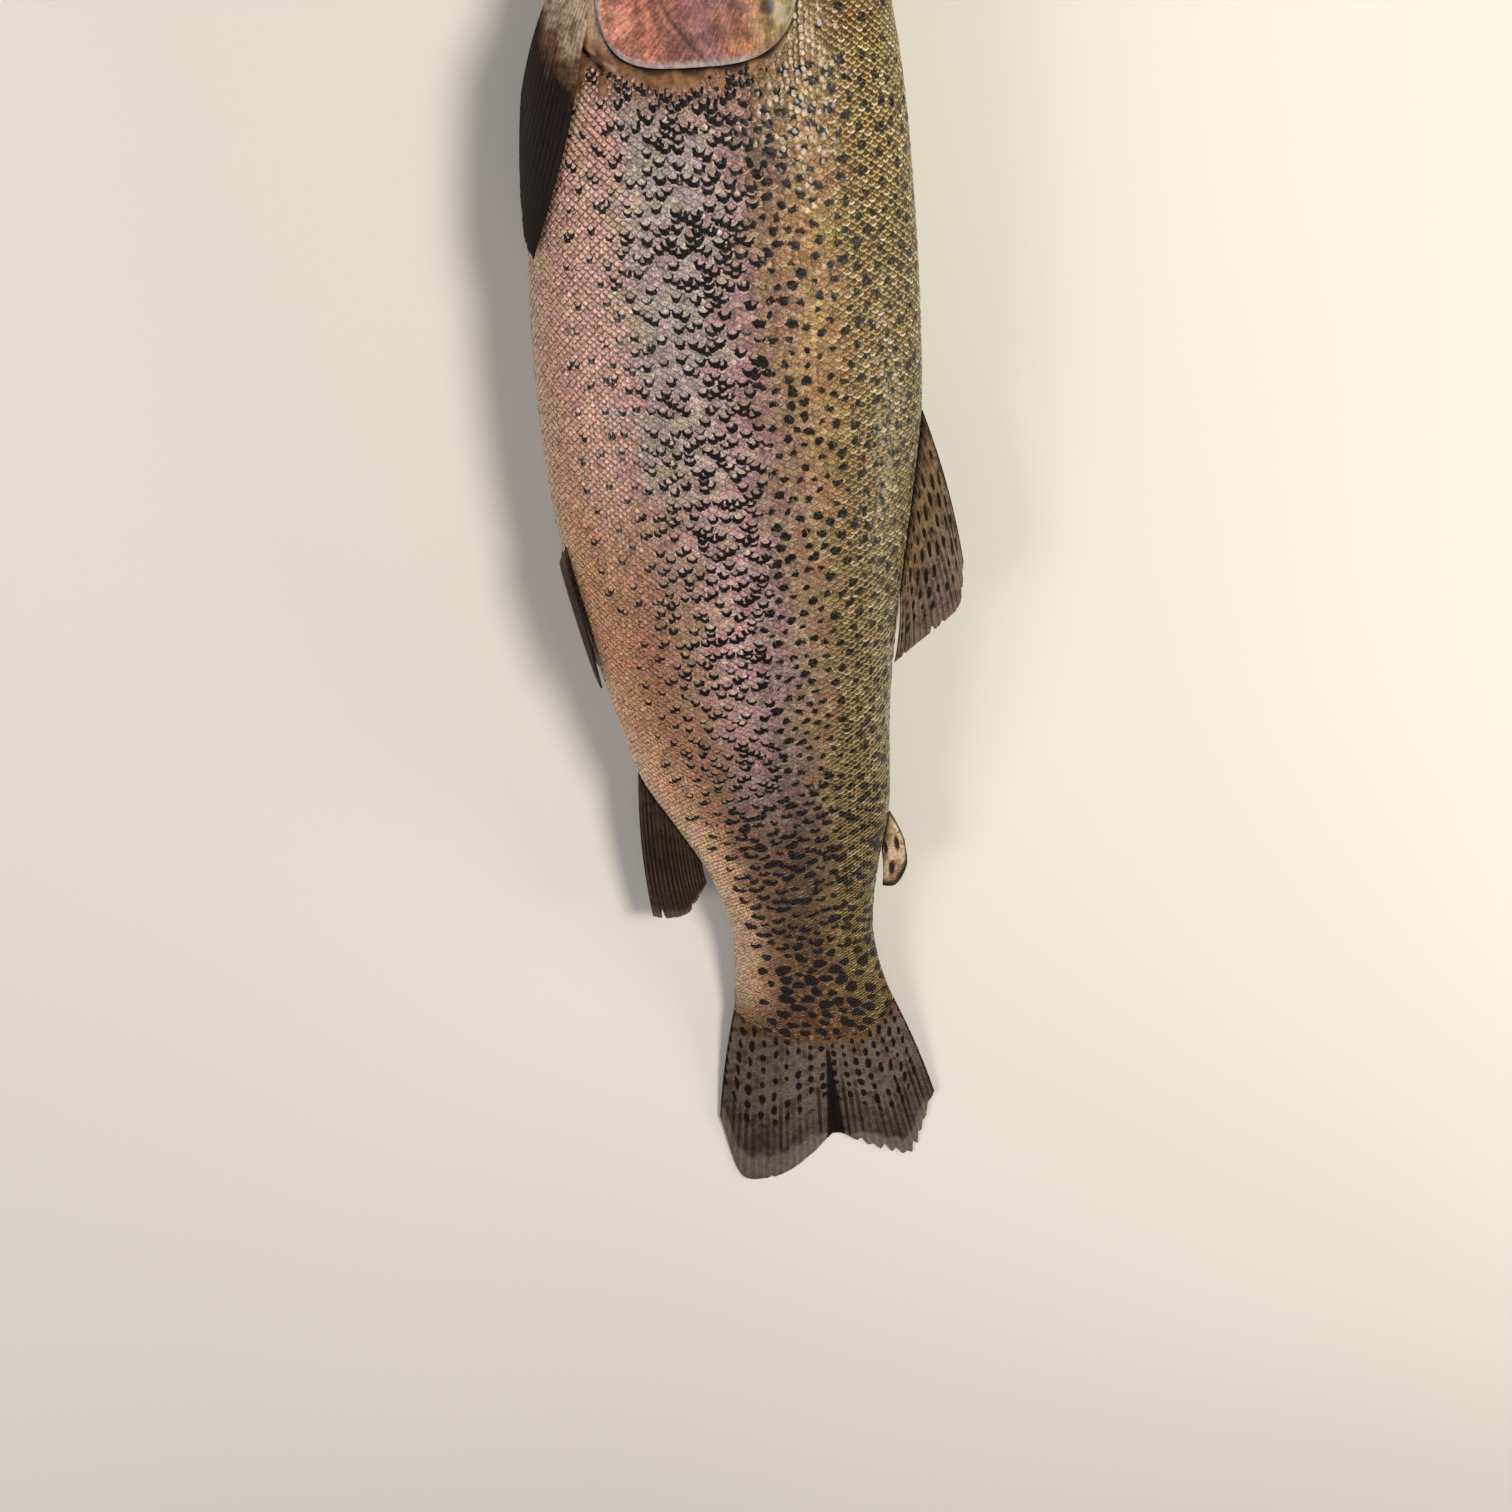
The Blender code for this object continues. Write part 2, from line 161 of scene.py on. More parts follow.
def girth(s, x, side):
    """u of the side-view point (s, x), where x is measured from the body's own axis."""
    back, belly, _ = sizes(s)
    share = np.clip(x / np.where(x > 0, back, belly), -1.0, 1.0)
    u = np.arccos(np.sign(share) * np.abs(share) ** (ROUNDNESS / 2)) / (2 * np.pi)
    return u if side > 0 else 1.0 - u


def flank(s, x, side, lift=0.0):
    return skin(s, girth(s, x - axis_x(s), side), lift)


def side_u(u):
    """u folded onto the left side, so that both flanks read the same shapes."""
    return np.minimum(u, 1.0 - u)


LENGTHS = np.linspace(0.35, 308.0, 616)
ARC_STEPS = 160


def arc_tables():
    """Half the girth over LENGTHS, and the tables that go from w to u and from u to w."""
    u = np.linspace(0.0, 0.5, ARC_STEPS + 1)
    x, z, _, _ = oval(LENGTHS[:, None], u[None, :])
    pieces = np.hypot(np.diff(x), np.diff(z))
    arc = np.concatenate((np.zeros((len(LENGTHS), 1)), np.cumsum(pieces, axis=1)), axis=1)
    share = arc / arc[:, -1:]
    even = np.linspace(0.0, 1.0, ARC_STEPS + 1)
    return arc[:, -1], np.array([np.interp(even, row, u) for row in share]), share


HALF_GIRTH, U_BY_W, W_BY_U = arc_tables()


def between(table, row, column):
    """Reads a table between its rows and columns."""
    row = np.clip(row, 0.0, table.shape[0] - 1.001)
    column = np.clip(column, 0.0, table.shape[1] - 1.001)
    i, k = row.astype(int), column.astype(int)
    a, b = row - i, column - k
    return ((1 - a) * ((1 - b) * table[i, k] + b * table[i, k + 1])
            + a * ((1 - b) * table[i + 1, k] + b * table[i + 1, k + 1]))


def read_table(table, s, share):
    row = (s - LENGTHS[0]) / (LENGTHS[1] - LENGTHS[0])
    return between(table, row, np.clip(share, 0.0, 1.0) * (table.shape[1] - 1.001))


def w_of(s, u):
    s, u = np.broadcast_arrays(np.asarray(s, float), u)
    return read_table(W_BY_U, s, 2 * side_u(u))


def u_of(s, w, side):
    u = read_table(U_BY_W, s, w)
    return u if side > 0 else 1.0 - u


def half_girth(s):
    return np.interp(s, LENGTHS, HALF_GIRTH)


def lateral_w(s):
    return w_of(s, np.full_like(np.asarray(s, float), 0.25))


def gill_seam(u):
    """s of the gill opening round the girth: furthest back on the flank, forward at nape and throat."""
    v = side_u(u)
    back, belly = smooth((0.19 - v) / 0.19), smooth((v - 0.33) / 0.17)
    return GILL_OPENING - (GILL_OPENING - NAPE) * back - (GILL_OPENING - THROAT) * belly


def tail_end(u):
    """s where the stem ends and the tail fin starts, furthest back in the middle of the flank."""
    return TAIL_MIDDLE - (TAIL_MIDDLE - TAIL_EDGE) * np.cos(2 * np.pi * u) ** 2


# ---------------------------------------------------------------- markings

FIELD_STEP = 0.12
FIELD_LENGTH, FIELD_GIRTH = 314.0, 112.0


def spot_gap(s, w):
    """Spacing of the dark spots: close on the back and flank, wider low down, none on the belly."""
    if s < 46.0:
        return 4.4 if w < 0.36 else 0.0
    if s < 66.0:
        return 4.6 if w < 0.42 else 0.0
    tail = float(smooth((s - 200.0) / 50.0))
    fade = 0.83 - 0.02 * tail
    if w > fade:
        return 0.0
    low = float(smooth((w - 0.66) / (fade - 0.66)))
    upper = float(smooth((0.36 - w) / 0.12)) * (1.0 - tail)
    shoulder = float(smooth((112.0 - s) / 30.0)) * (1.0 - upper)
    rear = float(smooth((s - 130.0) / 30.0)) * (1.0 - upper) * (1.0 - tail)
    end = float(smooth((s - 262.0) / 16.0))
    gap = 2.45 + 0.40 * upper + 0.50 * tail + 0.50 * end - 0.32 * shoulder + 0.05 * rear
    return gap * (1.0 + 0.9 * low * (1.0 - 0.6 * tail))


def scatter(tries):
    """Seeded places (s, g) on one flank, none closer to another than spot_gap allows."""
    kept, cells = [], {}
    for s, w in zip(rng.uniform(9.0, 309.0, tries), rng.uniform(0.0, 1.0, tries)):
        gap = spot_gap(s, w)
        if not gap:
            continue
        g = w * float(half_girth(s))
        i, k = int(s / 4.0), int(g / 4.0)
        near = [q for a in range(-2, 3) for b in range(-2, 3) for q in cells.get((i + a, k + b), ())]
        if all((s - q[0]) ** 2 + (g - q[1]) ** 2 > gap ** 2 for q in near):
            cells.setdefault((i, k), []).append((s, g))
            kept.append((s, g, w))
    return np.array(kept).T


def spot_field():
    """One flank's dark spots painted on a fine (s, g) grid: irregular, and wider than long on the tail."""
    s, g, w = scatter(50000)
    tail = smooth((s - 200.0) / 40.0)
    low = smooth((w - 0.52) / 0.25)
    flank = smooth((w - 0.40) / 0.06)
    end = smooth((s - 262.0) / 16.0)
    radius = 0.80 + (0.15 * flank - 0.24 * low) * (1.0 - tail) + 0.44 * tail + 0.20 * end
    radius = radius * rng.uniform(0.65, 1.28, s.shape)
    radius = np.where(s < 60.0, 0.85 * radius, radius)
    stretch = (rng.uniform(1.05, 1.65, s.shape) + 0.15 * flank) * (1.0 - 0.12 * tail - 0.18 * end)
    half_long, half_wide = radius / np.sqrt(stretch), radius * np.sqrt(stretch)
    turn = rng.uniform(-0.6, 0.6, s.shape) * (1.0 + end)
    dark = rng.uniform(0.75, 1.0, s.shape)
    phase = rng.uniform(0.0, 6.28, s.shape)
    hollow = rng.uniform(0.4, 0.95, s.shape) * smooth((s - 205.0) / 15.0) * smooth((276.0 - s) / 8.0)
    field = np.zeros((int(FIELD_LENGTH / FIELD_STEP), int(FIELD_GIRTH / FIELD_STEP)))
    for i in range(len(s)):
        reach = 1.6 * half_wide[i]
        rows = np.arange(max(0, int((s[i] - reach) / FIELD_STEP)), int((s[i] + reach) / FIELD_STEP) + 1)
        columns = np.arange(max(0, int((g[i] - reach) / FIELD_STEP)), int((g[i] + reach) / FIELD_STEP) + 1)
        ds, dg = rows[:, None] * FIELD_STEP - s[i], columns[None, :] * FIELD_STEP - g[i]
        c, h = math.cos(turn[i]), math.sin(turn[i])
        along, across = (ds * c + dg * h) / half_long[i], (dg * c - ds * h) / half_wide[i]
        angle = np.arctan2(across, along)
        edge = 1.0 + 0.10 * np.sin(3 * angle + phase[i]) + 0.12 * np.sin(2 * angle - 2 * phase[i])
        mark = dark[i] * np.clip((1.30 - np.hypot(along, across) / edge) / 0.5, 0.0, 1.0)
        mark = mark * (1.0 - hollow[i] * np.clip((0.80 - np.hypot(along + 0.62, across)) / 0.4, 0.0, 1.0))
        window = np.ix_(rows[rows < field.shape[0]], columns[columns < field.shape[1]])
        field[window] = np.maximum(field[window], mark[:len(window[0]), :window[1].shape[1]])
    return field


SPOTS = {side: spot_field() for side, _ in SIDES}


def spot_at(s, g, side):
    """How dark the spots make the skin at the places asked for, 0 to 1."""
    return between(SPOTS[side], np.asarray(s, float) / FIELD_STEP, np.asarray(g, float) / FIELD_STEP)


# ---------------------------------------------------------------- nodes and meshes

def srgb(text):
    """An sRGB hex colour as linear values with full alpha."""
    values = [int(text[i:i + 2], 16) / 255.0 for i in (1, 3, 5)]
    return tuple(v / 12.92 if v <= 0.04045 else ((v + 0.055) / 1.055) ** 2.4 for v in values) + (1.0,)


# Short names of the nodes used most: type, the sockets that take the values, output, usual settings.
NODES = {
    "attribute": ("ShaderNodeAttribute", (), "Fac", {}),
    "combine": ("ShaderNodeCombineXYZ", (0, 1, 2), 0, {}),
    "mix": ("ShaderNodeMix", (0, 6, 7), 2, {"data_type": 'RGBA'}),
    "ramp": ("ShaderNodeValToRGB", (0,), 0, {}),
    "step": ("ShaderNodeMapRange", (0, 1, 2, 3, 4), 0, {"interpolation_type": 'SMOOTHSTEP'}),
    "stored": ("GeometryNodeInputNamedAttribute", ("Name",), "Attribute", {"data_type": 'FLOAT'}),
}


def add(tree, kind, *values, output=None, stops=(), **settings):
    """Adds a node with its settings and links, and returns its output.

    kind is a short name from NODES, a Math node's operation in capitals or a node's own type. values are
    numbers, colours and other nodes' outputs in the order of its sockets, or a dict of them by socket."""
    kind, sockets, usual_output, usual = NODES.get(kind, (kind, (0, 1, 2), 0, {}))
    if kind.isupper():
        kind, usual = "ShaderNodeMath", {"operation": kind}
    made = tree.nodes.new(kind)
    for name, value in {**usual, **settings}.items():
        setattr(made, name, value)
    named = values[0] if values and isinstance(values[0], dict) else dict(zip(sockets, values))
    for name, value in named.items():
        if isinstance(value, bpy.types.NodeSocket):
            tree.links.new(value, made.inputs[name])
        else:
            made.inputs[name].default_value = value
    for number, (place, colour) in enumerate(stops):
        band = made.color_ramp.elements
        if number == 0:
            band.remove(band[-1])
            band[0].position = place
        (band.new(place) if number else band[0]).color = srgb(colour)
    return made.outputs[output or usual_output] if made.outputs else None


def put(mesh, name, values, kind='FLOAT', domain='POINT'):
    """Stores an attribute on a mesh from an array."""
    field = "vector" if kind in ('FLOAT_VECTOR', 'FLOAT2') else "value"
    layer = mesh.attributes.new(name, kind, domain)
    layer.data.foreach_set(field, np.ascontiguousarray(values, np.float32).ravel())


def mesh_from(name, points, faces):
    mesh = bpy.data.meshes.new(name)
    mesh.from_pydata(np.asarray(points, float).reshape(-1, 3).tolist(), [], faces)
    mesh.shade_smooth()
    return mesh


def show(name, mesh, material, replaced):
    """Links a finished piece, rides it on the body and hides the model's parts that it stands for."""
    piece = bpy.data.objects.new(name, mesh)
    bpy.context.scene.collection.objects.link(piece)
    if material is not None:
        mesh.materials.clear()
        mesh.materials.append(material)
    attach(piece, "root")
    if replaced:
        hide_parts(*replaced)
    return piece


def grid_faces(rows, columns, wrap=False):
    """Quads over a grid of points, row by row; wrap joins the last column to the first."""
    i = np.arange(rows - 1)[:, None]
    k = np.arange(columns if wrap else columns - 1)[None, :]
    n = (k + 1) % columns
    quads = np.stack(np.broadcast_arrays(i * columns + k, i * columns + n,
                                         (i + 1) * columns + n, (i + 1) * columns + k), -1)
    return quads.reshape(-1, 4).tolist()


def rim_of(rows, columns):
    rim = list(range(columns)) + [i * columns + columns - 1 for i in range(1, rows)]
    rim += [(rows - 1) * columns + k for k in range(columns - 2, -1, -1)]
    return rim + [i * columns for i in range(rows - 2, 0, -1)]


def slab(name, top, bottom):
    """A closed plate between two grids of points."""
    rows, columns = top.shape[:2]
    under = rows * columns
    faces = grid_faces(rows, columns)
    faces += [[under + j for j in reversed(q)] for q in grid_faces(rows, columns)]
    rim = rim_of(rows, columns)
    faces += [(b, a, under + a, under + b) for a, b in zip(rim, rim[1:] + rim[:1])]
    mesh = mesh_from(name, np.concatenate((top.reshape(-1, 3), bottom.reshape(-1, 3))), faces)
    outward(mesh)
    return mesh


def outward(mesh):
    bm = bmesh.new()
    bm.from_mesh(mesh)
    bmesh.ops.recalc_face_normals(bm, faces=bm.faces)
    bm.to_mesh(mesh)
    bm.free()


# ---------------------------------------------------------------- finishes

def new_material(name, rough, coat=0.0, coat_rough=0.05, specular=0.5):
    """A material, the function that adds nodes to its tree, and its shader."""
    material = bpy.data.materials.new(name)
    material.use_nodes = True
    shader = material.node_tree.nodes["Principled BSDF"]
    for socket, value in (("Roughness", rough), ("Metallic", 0.0), ("Coat Weight", coat),
                          ("Coat Roughness", coat_rough), ("Specular IOR Level", specular)):
        shader.inputs[socket].default_value = value
    return material, partial(add, material.node_tree), shader


def feed(shader, socket, output):
    """Links a node's output to one of the shader's sockets."""
    shader.id_data.links.new(output, shader.inputs[socket])


def lumps(node, size_mm, detail=3.0, rough=0.55):
    """An uneven pattern on Object coordinates whose lumps are about size_mm across."""
    place = node("ShaderNodeTexCoord", output="Object")
    return node("ShaderNodeTexNoise", {"Vector": place, "Scale": 1.0 / (size_mm * MM), "Detail": detail,
                                       "Roughness": rough}, output="Fac")


def shade_by(node, colour, value, low, high):
    """Colour times a grey that runs from low to high as value runs from 0 to 1."""
    grey = node('MULTIPLY_ADD', value, high - low, low)
    return node("mix", 1.0, colour, node("ShaderNodeCombineColor", grey, grey, grey), blend_type='MULTIPLY')


def grain(node, colour, size_mm, low, high, detail=3.0):
    """Colour broken up by a fine, strong mottle whose grains are about size_mm across."""
    return shade_by(node, colour, node("step", lumps(node, size_mm, detail, 0.6), 0.36, 0.64), low, high)


def roughen(node, shader, size_mm, height_mm, detail=3.0):
    """Fine unevenness of the surface, height_mm high."""
    feed(shader, "Normal", node("ShaderNodeBump", {"Strength": 0.6, "Distance": height_mm * MM,
                                                   "Height": lumps(node, size_mm, detail)}))


def hide_colour(node, w):
    """The trout's ground colours from the girth share w and the place along the body.

    Golden-olive back, brown upper flank, rose stripe, grey-mauve middle, pink lower flank that turns tan
    towards the rear, cream belly; the tail stem is golden-brown and its end copper. The head is olive over
    rosy tan. Painted shade darkens the middle of the back, the corner behind the gill cover and the stem's
    rear lower flank, and painted light brightens the stem's lower flank and its flecks."""
    along = node("attribute", attribute_name="along")
    drift = node('MULTIPLY_ADD', lumps(node, 7.0, 4.0, 0.65), 0.26, -0.13)
    place = node('ADD', w, drift)
    front = node("ramp", place, stops=(
        (0.02, "#988862"), (0.17, "#988650"), (0.32, "#a0845f"), (0.42, "#856e5e"), (0.48, "#a4888a"),
        (0.56, "#a9a0a4"), (0.66, "#a29a9c"), (0.76, "#bc9b93"), (0.88, "#c09a90"), (0.98, "#b8a490")))
    rear = node("ramp", place, stops=(
        (0.02, "#8c8274"), (0.17, "#908460"), (0.32, "#927c66"), (0.44, "#8f7a80"), (0.52, "#ba9ea2"),
        (0.64, "#a08674"), (0.76, "#a07258"), (0.88, "#c8966e"), (0.98, "#b89c80")))
    # the stem ramp's pale lower stops are partly the cream belly and partly painted light on the lower flank
    # that turns away from the lamps
    stem = node("ramp", place, stops=(
        (0.02, "#7e7050"), (0.2, "#8e7a54"), (0.30, "#76624a"), (0.42, "#4c3a2c"), (0.55, "#5e4834"),
        (0.7, "#8e6c54"), (0.82, "#ecc8a6"), (1.0, "#e6d2b8")))
    base = node("mix", node("step", along, 105.0, 175.0), front, rear)
    base = node("mix", node("step", along, 180.0, 248.0), base, stem)
    # painted shade: the stem's lower flank behind s 238 is darkened
    below = node('MULTIPLY', node("step", along, 238.0, 260.0), node("step", w, 0.42, 0.6))
    base = shade_by(node, base, below, 1.0, 0.76)
    # the stem's end is copper, with bright flecks that are partly gold pigment and partly painted glints
    base = node("mix", node("step", along, 280.0, 300.0), base, srgb("#54391f"))
    fleck = node('MULTIPLY', node("step", lumps(node, 1.0), 0.53, 0.62), node("step", along, 225.0, 285.0))
    base = node("mix", node('MULTIPLY', fleck, 0.6), base, srgb("#b8844a"))
    patch = node("ramp", lumps(node, 4.5, 3.0, 0.6),
                 stops=((0.38, "#f4f8d2"), (0.48, "#fbf4e6"), (0.54, "#f8e8f4"), (0.64, "#ffdccc")))
    base = node("mix", 0.7, base, patch, blend_type='MULTIPLY')
    # painted shade: the middle of the back and the corner behind the gill cover are darkened as if less light
    # fell there
    back = node('MULTIPLY', node("step", along, 82.0, 108.0), node("step", along, 172.0, 142.0))
    base = shade_by(node, base, node('MULTIPLY', back, node("step", w, 0.32, 0.16)), 1.0, 0.76)
    corner = node('MULTIPLY', node("step", w, 0.52, 0.44), node("step", w, 0.18, 0.27))
    corner = node('MULTIPLY', corner, node("step", along, 104.0, 78.0))
    base = shade_by(node, base, corner, 1.0, 0.70)

    mottle = node('MULTIPLY_ADD', lumps(node, 3.5, 4.0), 0.16, -0.08)
    face = node("ramp", node('ADD', w, mottle), stops=(
        (0.0, "#5e5233"), (0.20, "#6d5f39"), (0.34, "#7a6844"), (0.44, "#8c6848"), (0.56, "#9a6d58"),
        (0.70, "#a0806c"), (0.84, "#ab9782"), (1.0, "#b9aa94")))
    return node("mix", node("attribute", attribute_name="head"), base, face)


def coat_material():
    """Scales of a wet trout: a silvery layer under clear skin, each with painted shade in its pocket under
    the scales in front.
    """
    material, node, shader = new_material("wet_trout_scales", 0.42, 0.24, 0.14, 0.2)
    w, along, tone, ahead, head, spot = (node("attribute", attribute_name=name)
                                         for name in ("w", "along", "tone", "ahead", "head", "spot"))
    tile, marked = (node("attribute", attribute_name=name, output="Vector") for name in ("tile", "marked"))
    back = node("step", w, 0.36, 0.22)
    middle = node('MULTIPLY', node("step", w, 0.74, 0.66), node('SUBTRACT', 1.0, back))
    jitter = node('SUBTRACT', tone, 0.5)
    # on the back and tail a spot blackens the whole scale, elsewhere only the pocket behind its neighbours
    whole = node('MAXIMUM', node('LESS_THAN', node('MULTIPLY_ADD', jitter, 0.06, w), 0.44),
                 node('GREATER_THAN', node('MULTIPLY_ADD', jitter, 24.0, along), 222.0))
    base = shade_by(node, hide_colour(node, w), tone, 0.72, 1.36)
    base = grain(node, base, 0.40, 0.56, 1.50)
    lie, across, _ = node("ShaderNodeSeparateXYZ", tile).node.outputs

    def reach(x, y):
        squares = node('ADD', node('MULTIPLY', x, x), node('MULTIPLY', y, y))
        return node('MULTIPLY', node('SQRT', squares), 2.0)

    # pale rear rim; a few rims carry a painted glint, bright and silvery
    width = node('MULTIPLY', back, -0.12)
    rim = node("step", node('SUBTRACT', reach(lie, across), width), 0.74, 0.92)
    rim = node('MULTIPLY', rim, node("step", lie, 0.05, 0.25))
    pale = node("ramp", w, stops=((0.0, "#a89a60"), (0.3, "#bca670"), (0.45, "#bda9a0"), (0.7, "#d0b4a8"),
                                  (1.0, "#cabca6")))
    base = node("mix", node('MULTIPLY', rim, node('MULTIPLY_ADD', middle, -0.40, 0.62)), base, pale)
    bright = node('MULTIPLY', rim, node("step", tone, 0.64, 0.76))
    bright = node('MULTIPLY', bright, node("step", w, 0.66, 0.50))
    base = node("mix", node('MULTIPLY', bright, 0.7), base, srgb("#d9cfb0"))

    # on the back every scale is a dark hollow in a golden net, its darkness partly pigment and partly painted
    # shade in the pit
    centre = node('MULTIPLY', node('SUBTRACT', lie, 0.13), 1.4)
    hollow = node("step", reach(centre, across), 0.66, 0.42)
    hollow = node('MULTIPLY', hollow, node('MULTIPLY', back, node('MULTIPLY_ADD', tone, -0.5, 1.02)))
    hollow = node('MULTIPLY', hollow, node('MULTIPLY_ADD', head, -0.7, 1.0))
    base = node("mix", hollow, base, srgb("#33280f"))

    # the pocket hugs the rear rims of the three scales in front and is painted shade under them; where one of
    # those is marked it is black
    broken = node('MULTIPLY_ADD', lumps(node, 0.8), 0.9, -0.45)
    pockets, crescents = [], []
    places = ((1.0, 0.0), (0.5, 0.515), (0.5, -0.515))
    for flag, (share, shift) in zip(node("ShaderNodeSeparateXYZ", marked).node.outputs, places):
        x = node('MULTIPLY_ADD', ahead, share, lie)
        far = reach(x, node('SUBTRACT', across, shift))
        taper = node('MAXIMUM', node('DIVIDE', node('MULTIPLY', x, 2.0), far), 0.0)
        pockets.append(node("step", node('SUBTRACT', far, node('MULTIPLY', taper, 0.10)), 1.14, 1.0))
        thick = node('MULTIPLY', node('POWER', taper, 2.6), node('MULTIPLY', flag, 0.74))
        rest = node('ADD', node('SUBTRACT', far, thick), broken)
        crescents.append(node('MULTIPLY', node("step", rest, 1.16, 0.96), node("step", flag, 0.15, 0.5)))
    pocket, crescent = (reduce(partial(node, 'MAXIMUM'), parts) for parts in (pockets, crescents))
    shadow = node('MULTIPLY', pocket, node('MULTIPLY_ADD', middle, -0.35, 0.8))
    base = node("mix", shadow, base, node("mix", 1.0, base, srgb("#6a4a38"), blend_type='MULTIPLY'))

    ragged = node('ADD', spot, node('MULTIPLY_ADD', lumps(node, 0.7, 2.0), 0.9, -0.38))
    ragged = node('ADD', ragged, node('MULTIPLY', jitter, 0.25))
    blot = node('MULTIPLY', node("step", ragged, 0.26, 0.56), whole)
    blot = node('MULTIPLY', blot, node('MULTIPLY_ADD', rim, -0.12, 1.0))
    mark = node('MAXIMUM', blot, node('MULTIPLY', crescent, node('SUBTRACT', 1.0, whole)))
    base = node("mix", mark, base, srgb("#0d0605"))
    feed(shader, "Base Color", base)
    silver = node('MULTIPLY', node("step", lie, 0.0, 0.35), node('SUBTRACT', 1.0, mark))
    feed(shader, "Metallic", node('MULTIPLY', silver, 0.22))
    roughen(node, shader, 0.45, 0.05, 2.0)
    return material


def lay_over(node, base, layers):
    """Covers the base with one layer after another, each where its own attribute says."""
    for name, colour in layers:
        base = node("mix", node("attribute", attribute_name=name), base, colour)
    return base


def skin_material():
    """Wet skin under and between the scales, and the bare skin of the head."""
    material, node, shader = new_material("wet_trout_skin", 0.45, 0.25, 0.14, 0.3)
    base = grain(node, hide_colour(node, node("attribute", attribute_name="w")), 0.5, 0.74, 1.22)
    blush = node("step", lumps(node, 2.0, 4.0), 0.3, 0.6)
    blush = node('MULTIPLY', node("attribute", attribute_name="blush"), blush)
    base = node("mix", blush, base, grain(node, srgb("#a2624f"), 0.6, 0.72, 1.3))
    bare = node("ramp", lumps(node, 1.6), stops=((0.35, "#5a3c26"), (0.6, "#8c6444")))
    base = lay_over(node, base, (("strip", bare), ("spot", srgb("#0f0a07")), ("shade", srgb("#140b07"))))
    feed(shader, "Base Color", base)
    roughen(node, shader, 0.6, 0.09)
    return material


def cover_material():
    """Gill cover: thin bone under wet skin, copper-red to mauve, olive at the top, a pale rear rim."""
    material, node, shader = new_material("wet_gill_cover", 0.45, 0.15, 0.2, 0.3)
    height = node('MULTIPLY_ADD', lumps(node, 6.0, 5.0, 0.6), 0.36, -0.18)
    place = node('ADD', node("attribute", attribute_name="up"), height)
    base = node("ramp", place, stops=(
        (0.0, "#b67c6c"), (0.22, "#9c6454"), (0.40, "#764e4a"), (0.55, "#7c5458"), (0.70, "#8c5c46"),
        (0.84, "#7d643a"), (1.0, "#6c6234")))
    base = grain(node, base, 0.55, 0.76, 1.28, 4.0)
    base = grain(node, base, 2.4, 0.60, 1.46, 5.0)
    # faint streaks fan out over the bone from its hinge
    fan_place = node("attribute", attribute_name="grain", output="Vector")
    streak = node("ShaderNodeTexNoise", {"Vector": fan_place, "Scale": 1.0, "Detail": 3.0, "Roughness": 0.6})
    base = shade_by(node, base, node("step", streak, 0.34, 0.66), 0.68, 1.36)
    fleck = node('MULTIPLY', node("step", lumps(node, 1.3, 2.0), 0.64, 0.72), 0.4)
    base = node("mix", fleck, base, srgb("#2a1712"))
    cheek = node("ramp", place,
                 stops=((0.0, "#a3806c"), (0.45, "#986a58"), (0.72, "#896a4c"), (0.95, "#6f6240")))
    # the groove's dark colour is painted shade in the crease of the suture
    base = lay_over(node, base, (("cheek", grain(node, cheek, 0.6, 0.78, 1.2)), ("groove", srgb("#41262a")),
                                 ("rim", grain(node, srgb("#a69a9a"), 0.9, 0.75, 1.2)),
                                 ("spot", srgb("#150d08"))))
    feed(shader, "Base Color", base)
    roughen(node, shader, 0.9, 0.10, 4.0)
    return material


def fin_dashes(node, out, across, rows, window, size, every):
    """Black dashes in rows across a fin, in every so many gaps between its rays, within the window of out."""
    drift = node('MULTIPLY_ADD', lumps(node, 6.0, 2.0), 0.9, -0.45)
    spread = node('MULTIPLY_ADD', across, 1.0 / every, node('MULTIPLY', drift, 0.6))
    row = node('ROUND', spread)
    off = node('SUBTRACT', spread, row)
    first = node("ShaderNodeTexWhiteNoise", {"W": row}, noise_dimensions='1D', output="Value")
    way = node('MULTIPLY_ADD', out, rows, node('ADD', first, drift))
    cell = node('FLOOR', way)
    along = node('SUBTRACT', node('SUBTRACT', way, cell), 0.5)
    draw = node("ShaderNodeTexWhiteNoise", {"Vector": node("combine", row, cell)}, noise_dimensions='2D',
                output="Value")
    swell = node('MULTIPLY_ADD', draw, 0.45, 0.7)
    a, b = (node('DIVIDE', node('MULTIPLY', part, 1.0 / extent), swell) for part, extent in
            ((off, size[0]), (along, size[1])))
    far = node('POWER', node('ADD', node('MULTIPLY', a, a), node('MULTIPLY', b, b)), 0.5)
    dash = node('MULTIPLY', node("step", far, 1.2, 0.8), node("step", draw, 0.05, 0.08))
    inside = node('MULTIPLY', node("step", out, window[0], window[0] + 0.04),
                  node("step", out, window[1], window[1] - 0.06))
    return node('MULTIPLY', node('MULTIPLY', dash, inside), 0.95)


